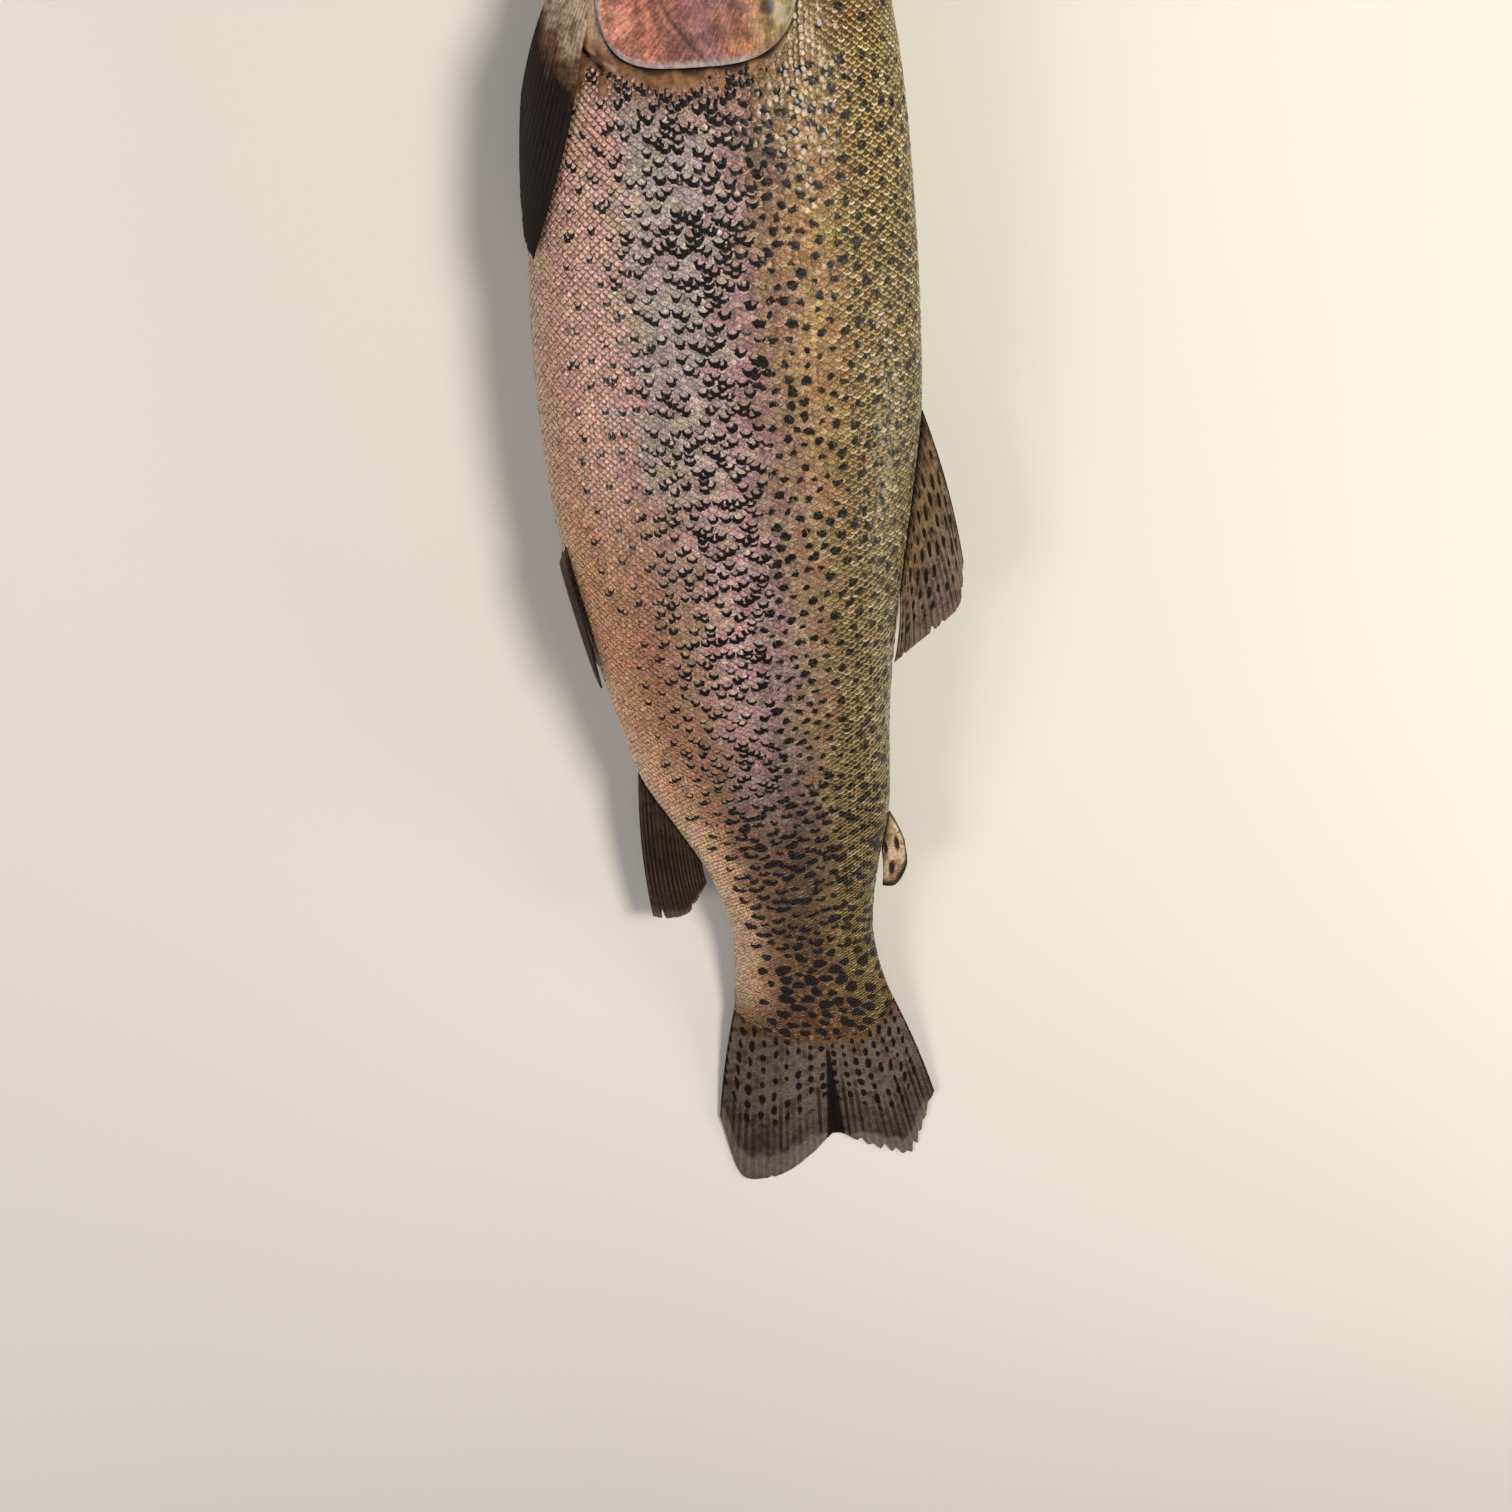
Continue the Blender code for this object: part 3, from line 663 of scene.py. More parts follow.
def fin_material(name, stops, light, streak, rows=0.0, window=(0.0, 1.0), size=(0.30, 0.27), every=1.0):
    """A wet fin: lighter bony rays in a dark web, streaked between the rays and worn pale at the margin.

    across counts the gaps between rays, out runs from the root 0 to the margin 1."""
    material, node, shader = new_material(name, 0.5, 0.06, 0.15, 0.10)
    out, across, ray = (node("attribute", attribute_name=key) for key in ("out", "across", "ray"))
    place = node('ADD', out, node('MULTIPLY_ADD', lumps(node, 4.0), 0.3, -0.15))
    web = grain(node, node("ramp", place, stops=stops), 0.7, 0.70, 1.30)
    web = node("mix", node("step", lumps(node, 3.0), 0.46, 0.64), web,
               node("mix", 1.0, web, srgb("#c4b0a6"), blend_type='MULTIPLY'))
    lane = node('ROUND', across)
    middle = node("step", node('ABSOLUTE', node('SUBTRACT', across, lane)), 0.40, 0.16)
    chance = node("ShaderNodeTexWhiteNoise", {"W": lane}, noise_dimensions='1D', output="Value")
    uneven = node('MULTIPLY_ADD', node('ADD', lumps(node, 3.0, 2.0), chance), 0.3, -0.3)
    reach = node("step", node('ADD', out, uneven), streak[0], streak[1], 0.12, streak[2])
    dark = node('MULTIPLY', node('MULTIPLY', middle, reach), node('MULTIPLY_ADD', chance, 0.9, 0.3))
    base = node("mix", dark, web, srgb("#1a1110"))
    glow = node('MULTIPLY', ray, node('MULTIPLY_ADD', lumps(node, 5.0), 1.6, -0.25))
    base = node("mix", node('MAXIMUM', glow, 0.0), base, node("mix", 0.5, web, srgb(light)))
    if rows:
        base = node("mix", fin_dashes(node, out, across, rows, window, size, every), base, srgb("#0c0706"))
    worn_web = shade_by(node, grain(node, srgb("#70655c"), 1.2, 0.8, 1.2), middle, 1.08, 0.84)
    feed(shader, "Base Color", lay_over(node, base, (("pale", worn_web), ("spot", srgb("#0c0706")))))
    roughen(node, shader, 0.8, 0.04)
    return material


def eye_material():
    """A fish's eye: black pupil, a thin bright ring and a brassy iris that darkens outwards, all glossy."""
    material, node, shader = new_material("wet_eye", 0.18, 1.0, 0.02)
    radius = node("attribute", attribute_name="radius")
    place = node('ADD', radius, node('MULTIPLY_ADD', lumps(node, 1.0), 0.08, -0.04))
    feed(shader, "Base Color", node("ramp", place, stops=(
        (0.0, "#040404"), (0.40, "#050505"), (0.43, "#d9a648"), (0.48, "#b98a3a"), (0.66, "#86683a"),
        (0.84, "#4a3a24"), (1.0, "#1a130c"))))
    feed(shader, "Metallic", node("step", radius, 0.40, 0.46, 0.0, 0.55))
    return material


# ---------------------------------------------------------------- the skin

def near_line(px, py, points):
    """Distance from arrays of places to a polyline."""
    best = np.full(px.shape, np.inf)
    for (ax, ay), (bx, by) in zip(points, points[1:]):
        along, up = bx - ax, by - ay
        t = np.clip(((px - ax) * along + (py - ay) * up) / np.hypot(along, up) ** 2, 0.0, 1.0)
        best = np.minimum(best, np.hypot(px - ax - t * along, py - ay - t * up))
    return best


def bell(d, width):
    return np.exp(-(d / width) ** 2)


def mouth_x(s):
    """Height of the mouth's slit, which runs back and down from the snout."""
    return -2.0 - 9.0 * np.clip(s / 34.0, 0.0, 1.1) ** 1.25


COVER_MIDDLE, COVER_HALF, COVER_FRONT = -3.4, 17.6, 47.0


def cover_rear(x):
    """s of the gill cover's rear edge at the height x."""
    turn = np.clip((x - COVER_MIDDLE) / COVER_HALF, -0.9999, 0.9999)
    power = np.where(turn > 0, 3.0, 4.0)
    return 48.0 + 17.8 * (1.0 - np.abs(turn) ** power) ** (1.0 / power)


def cover_front(x):
    """s of the gill cover's front edge at the height x."""
    return COVER_FRONT + 1.6 * ((x - COVER_MIDDLE) / COVER_HALF) ** 2


def relief(s, x):
    """Height in mm of the head's bare skin over the plain form, and its masks, from side-view places."""
    lift = np.zeros(s.shape)
    shade = np.zeros(s.shape)

    # socket: the skin dips under the eyeball and swells into a soft ring round it
    r = np.hypot((s - EYE[0]) / 1.03, x - EYE[1])
    lift -= 1.6 * smooth((6.0 - r) / 0.5)
    lift += 0.30 * bell(r - 6.6, 0.55) - 0.12 * bell(r - 7.9, 0.5)
    shade = np.maximum(shade, 0.75 * bell(r - 5.95, 0.35))

    # closed mouth: a dark cleft below the lip bone
    m = mouth_x(s)
    inside = smooth((35.0 - s) / 1.5)
    lift -= 1.4 * bell(x - m, 0.42) * inside
    shade = np.maximum(shade, 1.0 * bell(x - m, 0.42) * inside)
    lift -= 0.25 * smooth((m - x) / 0.5) * smooth((38.0 - s) / 6.0) * smooth((x + 26) / 8)

    # lip bone (maxilla): a long plate, widest behind the eye, its edges crisp
    f = (s - 3.5) / 33.0
    ends = np.clip(1.0 - np.abs(2 * f - 1) ** 5, 0.0, 1.0) ** 0.5
    top, low = m + (0.9 + 1.9 * f) * ends, m - (0.2 + 1.1 * f) * ends
    on = smooth((top - x) / 0.35 + 0.5) * smooth((x - low) / 0.35 + 0.5) * (ends > 0.02)
    lift += 0.85 * on
    lift -= 0.45 * bell(x - top - 0.35, 0.40) * (ends > 0.02)
    shade = np.maximum(shade, 0.6 * bell(x - top - 0.3, 0.35) * (ends > 0.02))
    # a second plate lies along its upper rear part
    top2 = top + 1.5 * np.clip(1.0 - ((f - 0.68) / 0.27) ** 2, 0.0, None)
    lift += 0.35 * smooth((top2 - x) / 0.3) * smooth((x - top) / 0.3) * (np.abs(f - 0.68) < 0.27)

    # nostrils: two pits in front of the eye with a flap between them
    for s0, x0, size in ((13.2, 7.4, 0.75), (15.0, 7.9, 0.62)):
        d = np.hypot(s - s0, x - x0)
        lift -= 0.9 * bell(d, size)
        lift += 0.22 * bell(d - size * 1.9, 0.4)
        shade = np.maximum(shade, 0.95 * bell(d, size * 0.9))

    # cheek: the preopercle's bent edge, and the bones under the eye
    d = near_line(s, x, ((42.6, 13.5), (44.4, 7.0), (45.4, 0.0), (45.4, -7.0), (44.2, -13.0),
                         (40.5, -17.6), (35.5, -20.2)))
    lift += 0.30 * bell(d - 1.6, 1.1) * (s < 46) - 0.42 * bell(d, 0.42)
    shade = np.maximum(shade, 0.45 * bell(d, 0.32))
    d = near_line(s, x, ((31.5, 9.0), (34.5, 3.0), (34.0, -3.0), (30.0, -6.6), (22.0, -5.4), (15.0, -2.6)))
    lift -= 0.16 * bell(d, 0.5)
    for x0 in (4.5, -0.5, -5.0):
        d = np.abs(x - x0 - 0.08 * (s - 38.0))
        lift -= 0.10 * bell(d, 0.4) * smooth((s - 33.5) / 1.5) * smooth((43.5 - s) / 1.5)

    # skull: a ridge over the eye that runs on towards the nape
    d = near_line(s, x, ((12.0, 11.0), (18.0, 13.0), (26.0, 13.8), (36.0, 13.6), (46.0, 13.0)))
    lift += 0.32 * bell(d, 1.3) - 0.16 * bell(d - 2.4, 0.9)

    # branchiostegal rays: ribs of the throat's membrane, fanning back under the gill cover
    below = smooth((-19.5 - x) / 1.5) * smooth((s - 36.0) / 4.0)
    fan_turn = np.arctan2(-x - 12.0, s - 24.0)
    lift += 0.22 * np.cos(fan_turn * 62.0) * below
    shade = np.maximum(shade, 0.22 * below * (0.5 - 0.5 * np.cos(fan_turn * 62.0)))

    # sensory pores under the eye, along the jaw and on the preopercle
    pores = [(17.5 + 2.6 * k, -2.1 - 0.75 * k) for k in range(5)]
    pores += [(8.0 + 4.6 * k, -8.2 - 1.75 * k) for k in range(6)]
    pores += [(41.2 + 1.0 * k, 10.0 - 5.0 * k) for k in range(4)]
    for s0, x0 in pores:
        d = np.hypot(s - s0, x - x0)
        lift -= 0.22 * bell(d, 0.34)
        shade = np.maximum(shade, 0.55 * bell(d, 0.30))

    # bed of the gill cover, open to the rear
    bed = smooth((COVER_HALF - 0.4 - np.abs(x - COVER_MIDDLE)) / 0.8)
    bed = bed * smooth((s - cover_front(x) + 0.2) / 0.8)
    behind = smooth((cover_rear(x) + 0.3 - s) / 0.9)
    lift -= 1.9 * bed * behind
    open_edge = 0.9 - 0.55 * smooth((x - 8.0) / 4.0)
    wavy = cover_rear(x) + 1.4 + 0.5 * np.sin(x * 0.9)
    shade = np.maximum(shade, open_edge * bed * smooth((wavy - s) / 1.1))
    return lift, shade


SKIN_SIDES = 320


def skin_rings():
    """Ring places: packed on the snout and face, wider along the scaled body."""
    nose = 0.35 + 8.0 * (np.linspace(0.0, 1.0, 30) ** 2)
    face = np.arange(nose[-1] + 0.5, 70.0, 0.5)
    body = np.arange(face[-1] + 2.0, 290.0, 2.2)
    return np.concatenate((nose, face, body))


def body_skin(material):
    """One unbroken skin over the head, trunk and tail stem."""
    rings = skin_rings()
    tail_rows = 8
    u = np.arange(SKIN_SIDES) / SKIN_SIDES
    s = np.repeat(rings[:, None], SKIN_SIDES, axis=1)
    end = tail_end(u) - 0.2
    extra = rings[-1] + (end[None, :] - rings[-1]) * (np.arange(1, tail_rows + 1) / tail_rows)[:, None]
    s = np.concatenate((s, extra))
    turns = np.broadcast_to(u, s.shape)
    x, _, _, _ = oval(s, turns)
    w = w_of(s, turns)

    lift, shade = relief(s, x)
    on_head = smooth((72.0 - s) / 3.0)
    lift, shade = lift * on_head, shade * on_head
    # a furrow runs back between the two halves of the lower jaw
    furrow = bell((1.0 - w) * half_girth(s), 0.9 + 0.05 * s)
    furrow = furrow * smooth((s - 5.0) / 5.0) * smooth((40.0 - s) / 6.0)
    lift -= 0.55 * furrow
    shade = np.maximum(shade, 0.25 * furrow)

    # gill opening: a cleft that runs down and forward under the throat, then the shoulder's bare strip
    seam = gill_seam(turns)
    low = smooth((side_u(turns) - 0.335) / 0.02)
    lift -= 1.3 * bell(s - seam, 0.55) * low
    shade = np.maximum(shade, 0.9 * bell(s - seam, 0.5) * low)
    strip = smooth((s - seam + 4.5) / 2.5) * smooth((74.0 - s) / 2.0) * smooth((side_u(turns) - 0.16) / 0.05)
    strip = strip * smooth((seam + 12.0 - s) / 7.0)

    # lateral line: a low welt of pored scales
    lift += 0.12 * bell((w - lateral_w(s)) * half_girth(s), 0.7) * smooth((s - 66.0) / 3.0)

    points = skin(s, turns, -COAT_DEPTH + lift)
    rows = len(s)
    faces = grid_faces(rows, SKIN_SIDES, wrap=True)
    # a point a little ahead of the first ring closes the snout, and quads from back to belly close the stem
    tip = rows * SKIN_SIDES
    verts = np.concatenate((points.reshape(-1, 3), points[:1].mean(axis=1)))
    verts[tip, 1] += 0.12 * MM
    faces += [(k, tip, (k + 1) % SKIN_SIDES) for k in range(SKIN_SIDES)]
    last = (rows - 1) * SKIN_SIDES
    for k in range(SKIN_SIDES // 2):
        row = (k, k + 1, (SKIN_SIDES - k - 1) % SKIN_SIDES, (SKIN_SIDES - k) % SKIN_SIDES)
        faces.append([last + j for j in dict.fromkeys(row)])
    mesh = mesh_from("trout_skin", verts, faces)
    outward(mesh)

    def whole(values):
        return np.append(values.ravel(), values.ravel()[0])

    spot = np.zeros(s.shape)
    for side, _ in SIDES:
        here = (turns <= 0.5) if side > 0 else (turns > 0.5)
        spot[here] = spot_at(s[here], w[here] * half_girth(s[here]), side)
    marks = {"w": w, "along": s, "spot": spot * 0.9 * (1.0 - strip), "shade": shade, "strip": strip,
             "head": head_share(s, turns, x), "blush": 0.75 * bell(s - 44.0, 9.0) * bell(x + 4.0, 11.0)}
    for key, values in marks.items():
        put(mesh, key, whole(values))
    covered = ("head", "lower_jaw", "maxilla_left", "maxilla_right", "trunk_front", "trunk_rear", "tail_stem")
    return show("trout_skin", mesh, material, covered)


def gill_cover(side, word, material):
    """The opercle and subopercle as one thin plate with a free, pale rear rim."""
    rows, columns = 97, 61
    turn = np.linspace(-1.0, 1.0, rows)
    x = COVER_MIDDLE + (COVER_HALF - 0.1) * np.sin(0.5 * np.pi * turn)
    across = np.linspace(0.0, 1.0, columns)[None, :]
    near = cover_front(x) + 0.25
    far = np.maximum(cover_rear(x) - 0.15, near + 0.4)
    s = near[:, None] + (far - near)[:, None] * across
    heights = np.repeat(x[:, None], columns, axis=1)
    edge = np.minimum((far[:, None] - s), (COVER_HALF - np.abs(heights - COVER_MIDDLE)) * 1.4)
    # the suture between opercle and subopercle sweeps down and back
    d = near_line(s, heights, ((47.0, -12.5), (52.0, -11.2), (57.5, -8.6), (61.5, -5.6), (64.0, -3.4),
                               (66.5, -2.2)))
    groove = bell(d, 0.42)
    wave = 0.10 * np.sin(s * 0.9 + heights * 0.35) + 0.07 * np.sin(heights * 1.3 - s * 0.5)
    top = -0.32 + 0.72 * smooth((s - near[:, None]) / 2.2) - 0.28 * smooth((1.0 - edge) / 1.0)
    top = top - 0.16 * groove + 0.10 * bell(d - 1.0, 0.7) + wave * smooth(edge / 3.0) * 0.8
    thick = 0.55 + 0.75 * smooth(edge / 5.0)
    upper, lower = flank(s, heights, side, top), flank(s, heights, side, top - thick)
    mesh = slab("gill_cover_skin_" + word, upper, lower)

    def both(values):
        return np.tile(np.broadcast_to(values, s.shape).ravel(), 2)

    ragged = 0.25 * np.sin(heights * 2.1) + 0.20 * np.sin(heights * 5.3 + 1.0) + 0.15 * np.sin(heights * 9.1)
    spots = np.zeros(s.shape)
    for s0, x0, size in ((57.0, 8.4, 1.35), (51.5, 10.6, 1.0), (50.0, 5.0, 0.8), (55.5, 12.2, 0.8)):
        spots = np.maximum(spots, smooth((size - np.hypot(s - s0, heights - x0)) / 0.7 + 0.5))
    marks = {"up": (heights - COVER_MIDDLE + COVER_HALF) / (2 * COVER_HALF),
             "rim": smooth((1.35 - edge + ragged) / 0.9) * (0.9 - 0.75 * smooth((heights - 3.0) / 6.0)),
             # painted shade in the suture's crease
             "groove": groove * 0.7,
             "cheek": 0.85 * smooth((near[:, None] + 6.0 + 1.2 * np.sin(heights * 0.8) - s) / 7.0),
             "spot": spots * 0.9}
    for key, values in marks.items():
        put(mesh, key, both(values))
    # the streaks' places: how far from the hinge, and how far round it
    hinge_s, hinge_x = 40.0, 10.0
    far, angle = np.hypot(s - hinge_s, heights - hinge_x), np.arctan2(heights - hinge_x, s - hinge_s)
    put(mesh, "grain", np.tile(np.stack((far * 0.35, angle * 60.0, 0 * s), -1).reshape(-1, 3), (2, 1)),
        'FLOAT_VECTOR')
    return show("gill_cover_skin_" + word, mesh, material, ("gill_cover_" + word,))


def eye(side, word, material):
    """The eyeball: a flattened ball with a slightly raised, forward-drawn pupil."""
    centre, surface = (flank(*np.array(EYE), side, lift) for lift in (-EYE_SUNK, 0.0))
    into = (surface - centre) / np.linalg.norm(surface - centre)
    along = np.array((0.0, -1.0, 0.0))
    across = np.cross(into, along)
    rings, sides = 48, 72
    polar = np.pi * np.arange(rings + 1)[:, None] / rings
    turn = 2 * np.pi * np.arange(sides)[None, :] / sides
    a = EYE_HALF[0] * np.sin(polar) * np.cos(turn)
    b = EYE_HALF[1] * np.sin(polar) * np.sin(turn)
    h = EYE_HALF[2] * np.cos(polar) * np.ones_like(turn)
    reach = np.hypot(a / IRIS, b / IRIS)
    pupil = np.hypot((a + 0.25) / (1.0 + 0.16 * (a < 0)), b) / IRIS
    h = h + 0.12 * bell(pupil - 0.44, 0.05) * (h > 0)
    points = centre + (into * h[..., None] + along * a[..., None] + across * b[..., None]) * MM
    mesh = mesh_from("eyeball_" + word, points, grid_faces(rings + 1, sides, wrap=True))
    bm = bmesh.new()
    bm.from_mesh(mesh)
    radius = bm.verts.layers.float.new("radius")
    for v, value in zip(bm.verts, np.where(h > 0, np.maximum(pupil, reach * (reach > 0.6)), 1.0).ravel()):
        v[radius] = value
    bmesh.ops.remove_doubles(bm, verts=bm.verts, dist=1e-7)
    bmesh.ops.recalc_face_normals(bm, faces=bm.faces)
    bm.to_mesh(mesh)
    bm.free()
    mesh.shade_smooth()
    return show("eyeball_" + word, mesh, material, ("eye_" + word,))


# ---------------------------------------------------------------- the coat of scales

PITCH = 1.42           # spacing of the scales along a row
REAR_LIFT = 0.095      # how much each scale's rear rim stands up, in radians
SCALE_LENGTH, SCALE_SPREAD = 1.30, 0.53    # a scale's length is the first plus the second times its width
ROWS = 84              # rows each way from the lateral line
PIECES = 5             # lengths each flank's coat is cut into


def scale_size(s):
    """Scales are smaller towards the tail and just behind the gill opening."""
    return 1.0 - 0.32 * smooth((s - 185.0) / 100.0) - 0.12 * smooth((82.0 - s) / 16.0)


def row_table():
    """Each row's distance from the lateral line and its own spacing; rows crowd towards belly and back."""
    n = np.arange(ROWS)
    down, up = 1.28 - 0.40 * smooth(n / 26.0), 1.28 - 0.12 * smooth(n / 26.0)
    offset = np.concatenate((-np.cumsum(up)[::-1], (0.0,), np.cumsum(down)))
    return offset, np.concatenate((up[::-1], (1.28,), down))


def scale_shape():
    """One scale, unit long and wide: X along its lie, Z outwards, round behind and very gently domed."""
    outline = [(-0.5, -0.22)] + [(0.5 * math.cos(t), 0.5 * math.sin(t)) for t in np.linspace(-1.35, 1.35, 6)]
    outline += [(-0.5, 0.22)]
    top = [(x, y, 0.030 - 0.10 * y * y - 0.04 * x * x) for x, y in outline]
    middle = [(x * 0.6 + 0.05, y * 0.6, 0.034 - 0.04 * y * y) for x, y in outline]
    under = [(x, y, z - 0.050) for x, y, z in top]
    n = len(outline)
    faces = [(n + k, n + (k + 1) % n, 2 * n) for k in range(n)]
    faces += [(k, (k + 1) % n, n + (k + 1) % n, n + k) for k in range(n)]
    faces += [(2 * n + 1 + k, 2 * n + 1 + (k + 1) % n, (k + 1) % n, k) for k in range(n)]
    faces += [tuple(range(3 * n, 2 * n, -1))]
    verts = top + middle + [(0.05, 0.0, 0.036)] + under
    mesh = mesh_from("scale_shape", verts, faces)
    flat = mesh.attributes.new("sharp_face", 'BOOLEAN', 'FACE')
    flat.data.foreach_set("value", [index >= 2 * n for index in range(len(faces))])
    put(mesh, "tile", np.array(verts), 'FLOAT_VECTOR')
    return bpy.data.objects.new("scale_shape", mesh)


def coat_front(u, x):
    """s where the scales start: behind the gill cover, forward over the nape and under the throat."""
    front = cover_rear(x) + 1.0 + 1.6 * smooth((-1.0 - x) / 6.0)
    front = np.where(x < -8.0, 68.8 + 0.25 * (x + 8.0), front)
    return np.where(u > 0.44, gill_seam(u) + 27.0 - 5.0 * smooth((0.48 - u) / 0.04), front)


def head_share(s, u, x):
    """How much of the head's colour the skin and scales keep, fading out behind the coat's front edge."""
    return smooth((coat_front(side_u(u), x) + 10.0 - s) / 13.0)


def scale_places(side):
    """Roots of one flank's scales in staggered rows, as a table of flat arrays."""
    fine = np.linspace(40.0, 312.0, 2721)
    count = np.concatenate(((0.0,), np.cumsum(0.1 / (PITCH * scale_size(fine[:-1])))))
    columns = np.arange(0, int(count[-1]) + 1)
    offset, pitch = row_table()
    row, column = np.meshgrid(np.arange(len(offset)), columns, indexing="ij")
    s = np.interp(column + 0.5 * (row % 2), count, fine)
    size = scale_size(s)
    s = s + rng.normal(0.0, 0.06, s.shape)
    g = offset[row] * size + rng.normal(0.0, 0.045, s.shape)
    w = lateral_w(s) + g / half_girth(s)
    u = u_of(s, np.clip(w, 0.0, 1.0), LEFT)
    x = oval(s, u)[0]
    front = coat_front(u, x) + rng.normal(0.0, 0.25, s.shape)
    keep = (w > 0.004) & (w < 0.996) & (s > front) & (s < tail_end(u) - 0.5)
    # the first few rows are smaller and lie deeper in the skin
    reach = 7.0 + 8.0 * smooth((x - 6.0) / 8.0) + 12.0 * smooth((u - 0.40) / 0.05)
    first = smooth((front + reach - s) / reach)
    wide = 2.0 * pitch[row] * 0.97
    length = SCALE_LENGTH + SCALE_SPREAD * wide
    # a scale is marked where a spot lies behind its rear rim; each one also knows the three ahead of it
    g = np.clip(w, 0.0, 1.0) * half_girth(s)
    dark = np.clip(1.6 * spot_at(s + 0.5 * length * size, g, side) - 0.3, 0.0, 1.0)
    before = np.roll(dark, 1, axis=1)
    diagonal = np.where(row % 2 == 1, before, dark)
    below, above = np.roll(diagonal, -1, axis=0), np.roll(diagonal, 1, axis=0)
    pair = (above, below) if side > 0 else (below, above)
    table = {"s": s, "w": w, "wide": wide * size * (1.0 - 0.34 * first),
             "long": length * size * (1.0 - 0.38 * first), "ahead": PITCH / length, "sunk": first,
             "head": head_share(s, u, x), "marked": np.stack((before,) + pair, -1)}
    table = {key: values[keep] for key, values in table.items()}
    if side == RIGHT:
        return table
    # one sunk row closes the coat along the ridge of the back and one along the belly
    for w, pitch_here in ((0.0, pitch[0]), (1.0, pitch[-1])):
        s = np.interp(columns, count, fine)
        u = np.full(s.shape, 0.5 * w)
        x = oval(s, u)[0]
        near = (s > coat_front(u, x)) & (s < tail_end(u) - 0.5)
        s, u, x = s[near], u[near], x[near]
        wide = 2.0 * pitch_here * 1.15 * scale_size(s)
        length = SCALE_LENGTH * scale_size(s) + SCALE_SPREAD * wide
        row = {"s": s, "w": u * 2.0, "wide": wide, "long": length, "ahead": PITCH * scale_size(s) / length,
               "sunk": np.full(s.shape, 0.4), "head": head_share(s, u, x), "marked": np.zeros((len(s), 3))}
        table = {key: np.concatenate((values, row[key])) for key, values in table.items()}
    return table


def new_tree(name, inputs, output):
    """An empty Geometry Nodes tree, the function that adds its nodes, and its inputs by name."""
    tree = bpy.data.node_groups.new(name, "GeometryNodeTree")
    for title, kind in inputs:
        tree.interface.new_socket(title, in_out='INPUT', socket_type="NodeSocket" + kind)
    tree.interface.new_socket(output, in_out='OUTPUT', socket_type="NodeSocketGeometry")
    node = partial(add, tree)
    return tree, node, node("NodeGroupInput").node.outputs


def scale_tree(material):
    """Geometry Nodes: one scale at each root, turned to its outward and lie directions, then realized."""
    tree, node, given = new_tree("scale_rows", (
        ("Roots", "Geometry"), ("Scale shape", "Object"), ("Length", "Float"), ("Width", "Float"),
        ("Lift at the rear", "Float"), ("Patch", "Float")), "Coat")
    outward, lie, tile, root = (node("stored", name, data_type='FLOAT_VECTOR')
                                for name in ("outward", "lie", "tile", "root"))
    pitch = node('SUBTRACT', node("stored", "pitch"), given["Lift at the rear"])
    lean = node("combine", node("stored", "roll"), pitch, node("stored", "yaw"))
    stand = node("FunctionNodeAlignRotationToVector", {"Vector": outward}, axis='Z')
    turned = node("FunctionNodeAlignRotationToVector", {"Rotation": stand, "Vector": lie}, axis='X',
                  pivot_axis='Z')
    tipped = node("FunctionNodeRotateRotation",
                  {"Rotation": turned, "Rotate By": node("FunctionNodeEulerToRotation", lean)},
                  rotation_space='LOCAL')
    length = node('MULTIPLY', node("stored", "long"), given["Length"])
    width = node('MULTIPLY', node("stored", "wide"), given["Width"])
    model = node("GeometryNodeObjectInfo", {"Object": given["Scale shape"]}, output="Geometry")
    rows = node("GeometryNodeInstanceOnPoints", {
        "Points": given["Roots"], "Instance": model, "Rotation": tipped,
        "Scale": node("combine", length, width, length)})
    real = node("GeometryNodeRealizeInstances", {0: rows})
    # each scale's own small patch at its root on the skin's unwrap
    spread = node("ShaderNodeVectorMath", {0: tile, "Scale": given["Patch"]}, operation='SCALE')
    place = node("ShaderNodeVectorMath", {0: spread, 1: root}, operation='ADD')
    unwrapped = node("GeometryNodeStoreNamedAttribute", {"Geometry": real, "Name": "OFBake", "Value": place},
                     data_type='FLOAT2', domain='CORNER')
    painted = node("GeometryNodeSetMaterial", {"Geometry": unwrapped, "Material": material})
    node("NodeGroupOutput", {"Coat": painted})
    return tree


def grow(name, tree, mesh, inputs):
    """Runs a Geometry Nodes tree with its named inputs on a helper mesh and returns the mesh it makes."""
    carrier = bpy.data.objects.new(name, mesh)
    bpy.context.scene.collection.objects.link(carrier)
    modifier = carrier.modifiers.new(name, 'NODES')
    modifier.node_group = tree
    for item in tree.interface.items_tree:
        if item.item_type == 'SOCKET' and item.in_out == 'INPUT' and item.name in inputs:
            modifier[item.identifier] = inputs[item.name]
    bpy.context.view_layer.update()
    graph = bpy.context.evaluated_depsgraph_get()
    made = bpy.data.meshes.new_from_object(carrier.evaluated_get(graph), depsgraph=graph)
    made.name = name
    bpy.data.objects.remove(carrier)
    return made


def lie_and_outward(s, w, u, side):
    """Unit vectors along a row towards the tail and out of the skin."""
    line = (w - lateral_w(s)) * half_girth(s)
    ahead = s + 0.5
    there = u_of(ahead, np.clip(lateral_w(ahead) + line / half_girth(ahead), 0.0, 1.0), side)
    lie = skin(ahead, there) - skin(s, u)
    lie /= np.linalg.norm(lie, axis=1)[:, None]
    out = np.cross(lie, skin(s, u + 0.002) - skin(s, u - 0.002))
    _, _, out_x, out_z = oval(s, u)
    out *= np.sign(out[:, 0] * out_x + out[:, 2] * out_z)[:, None]
    return lie, out / np.linalg.norm(out, axis=1)[:, None]


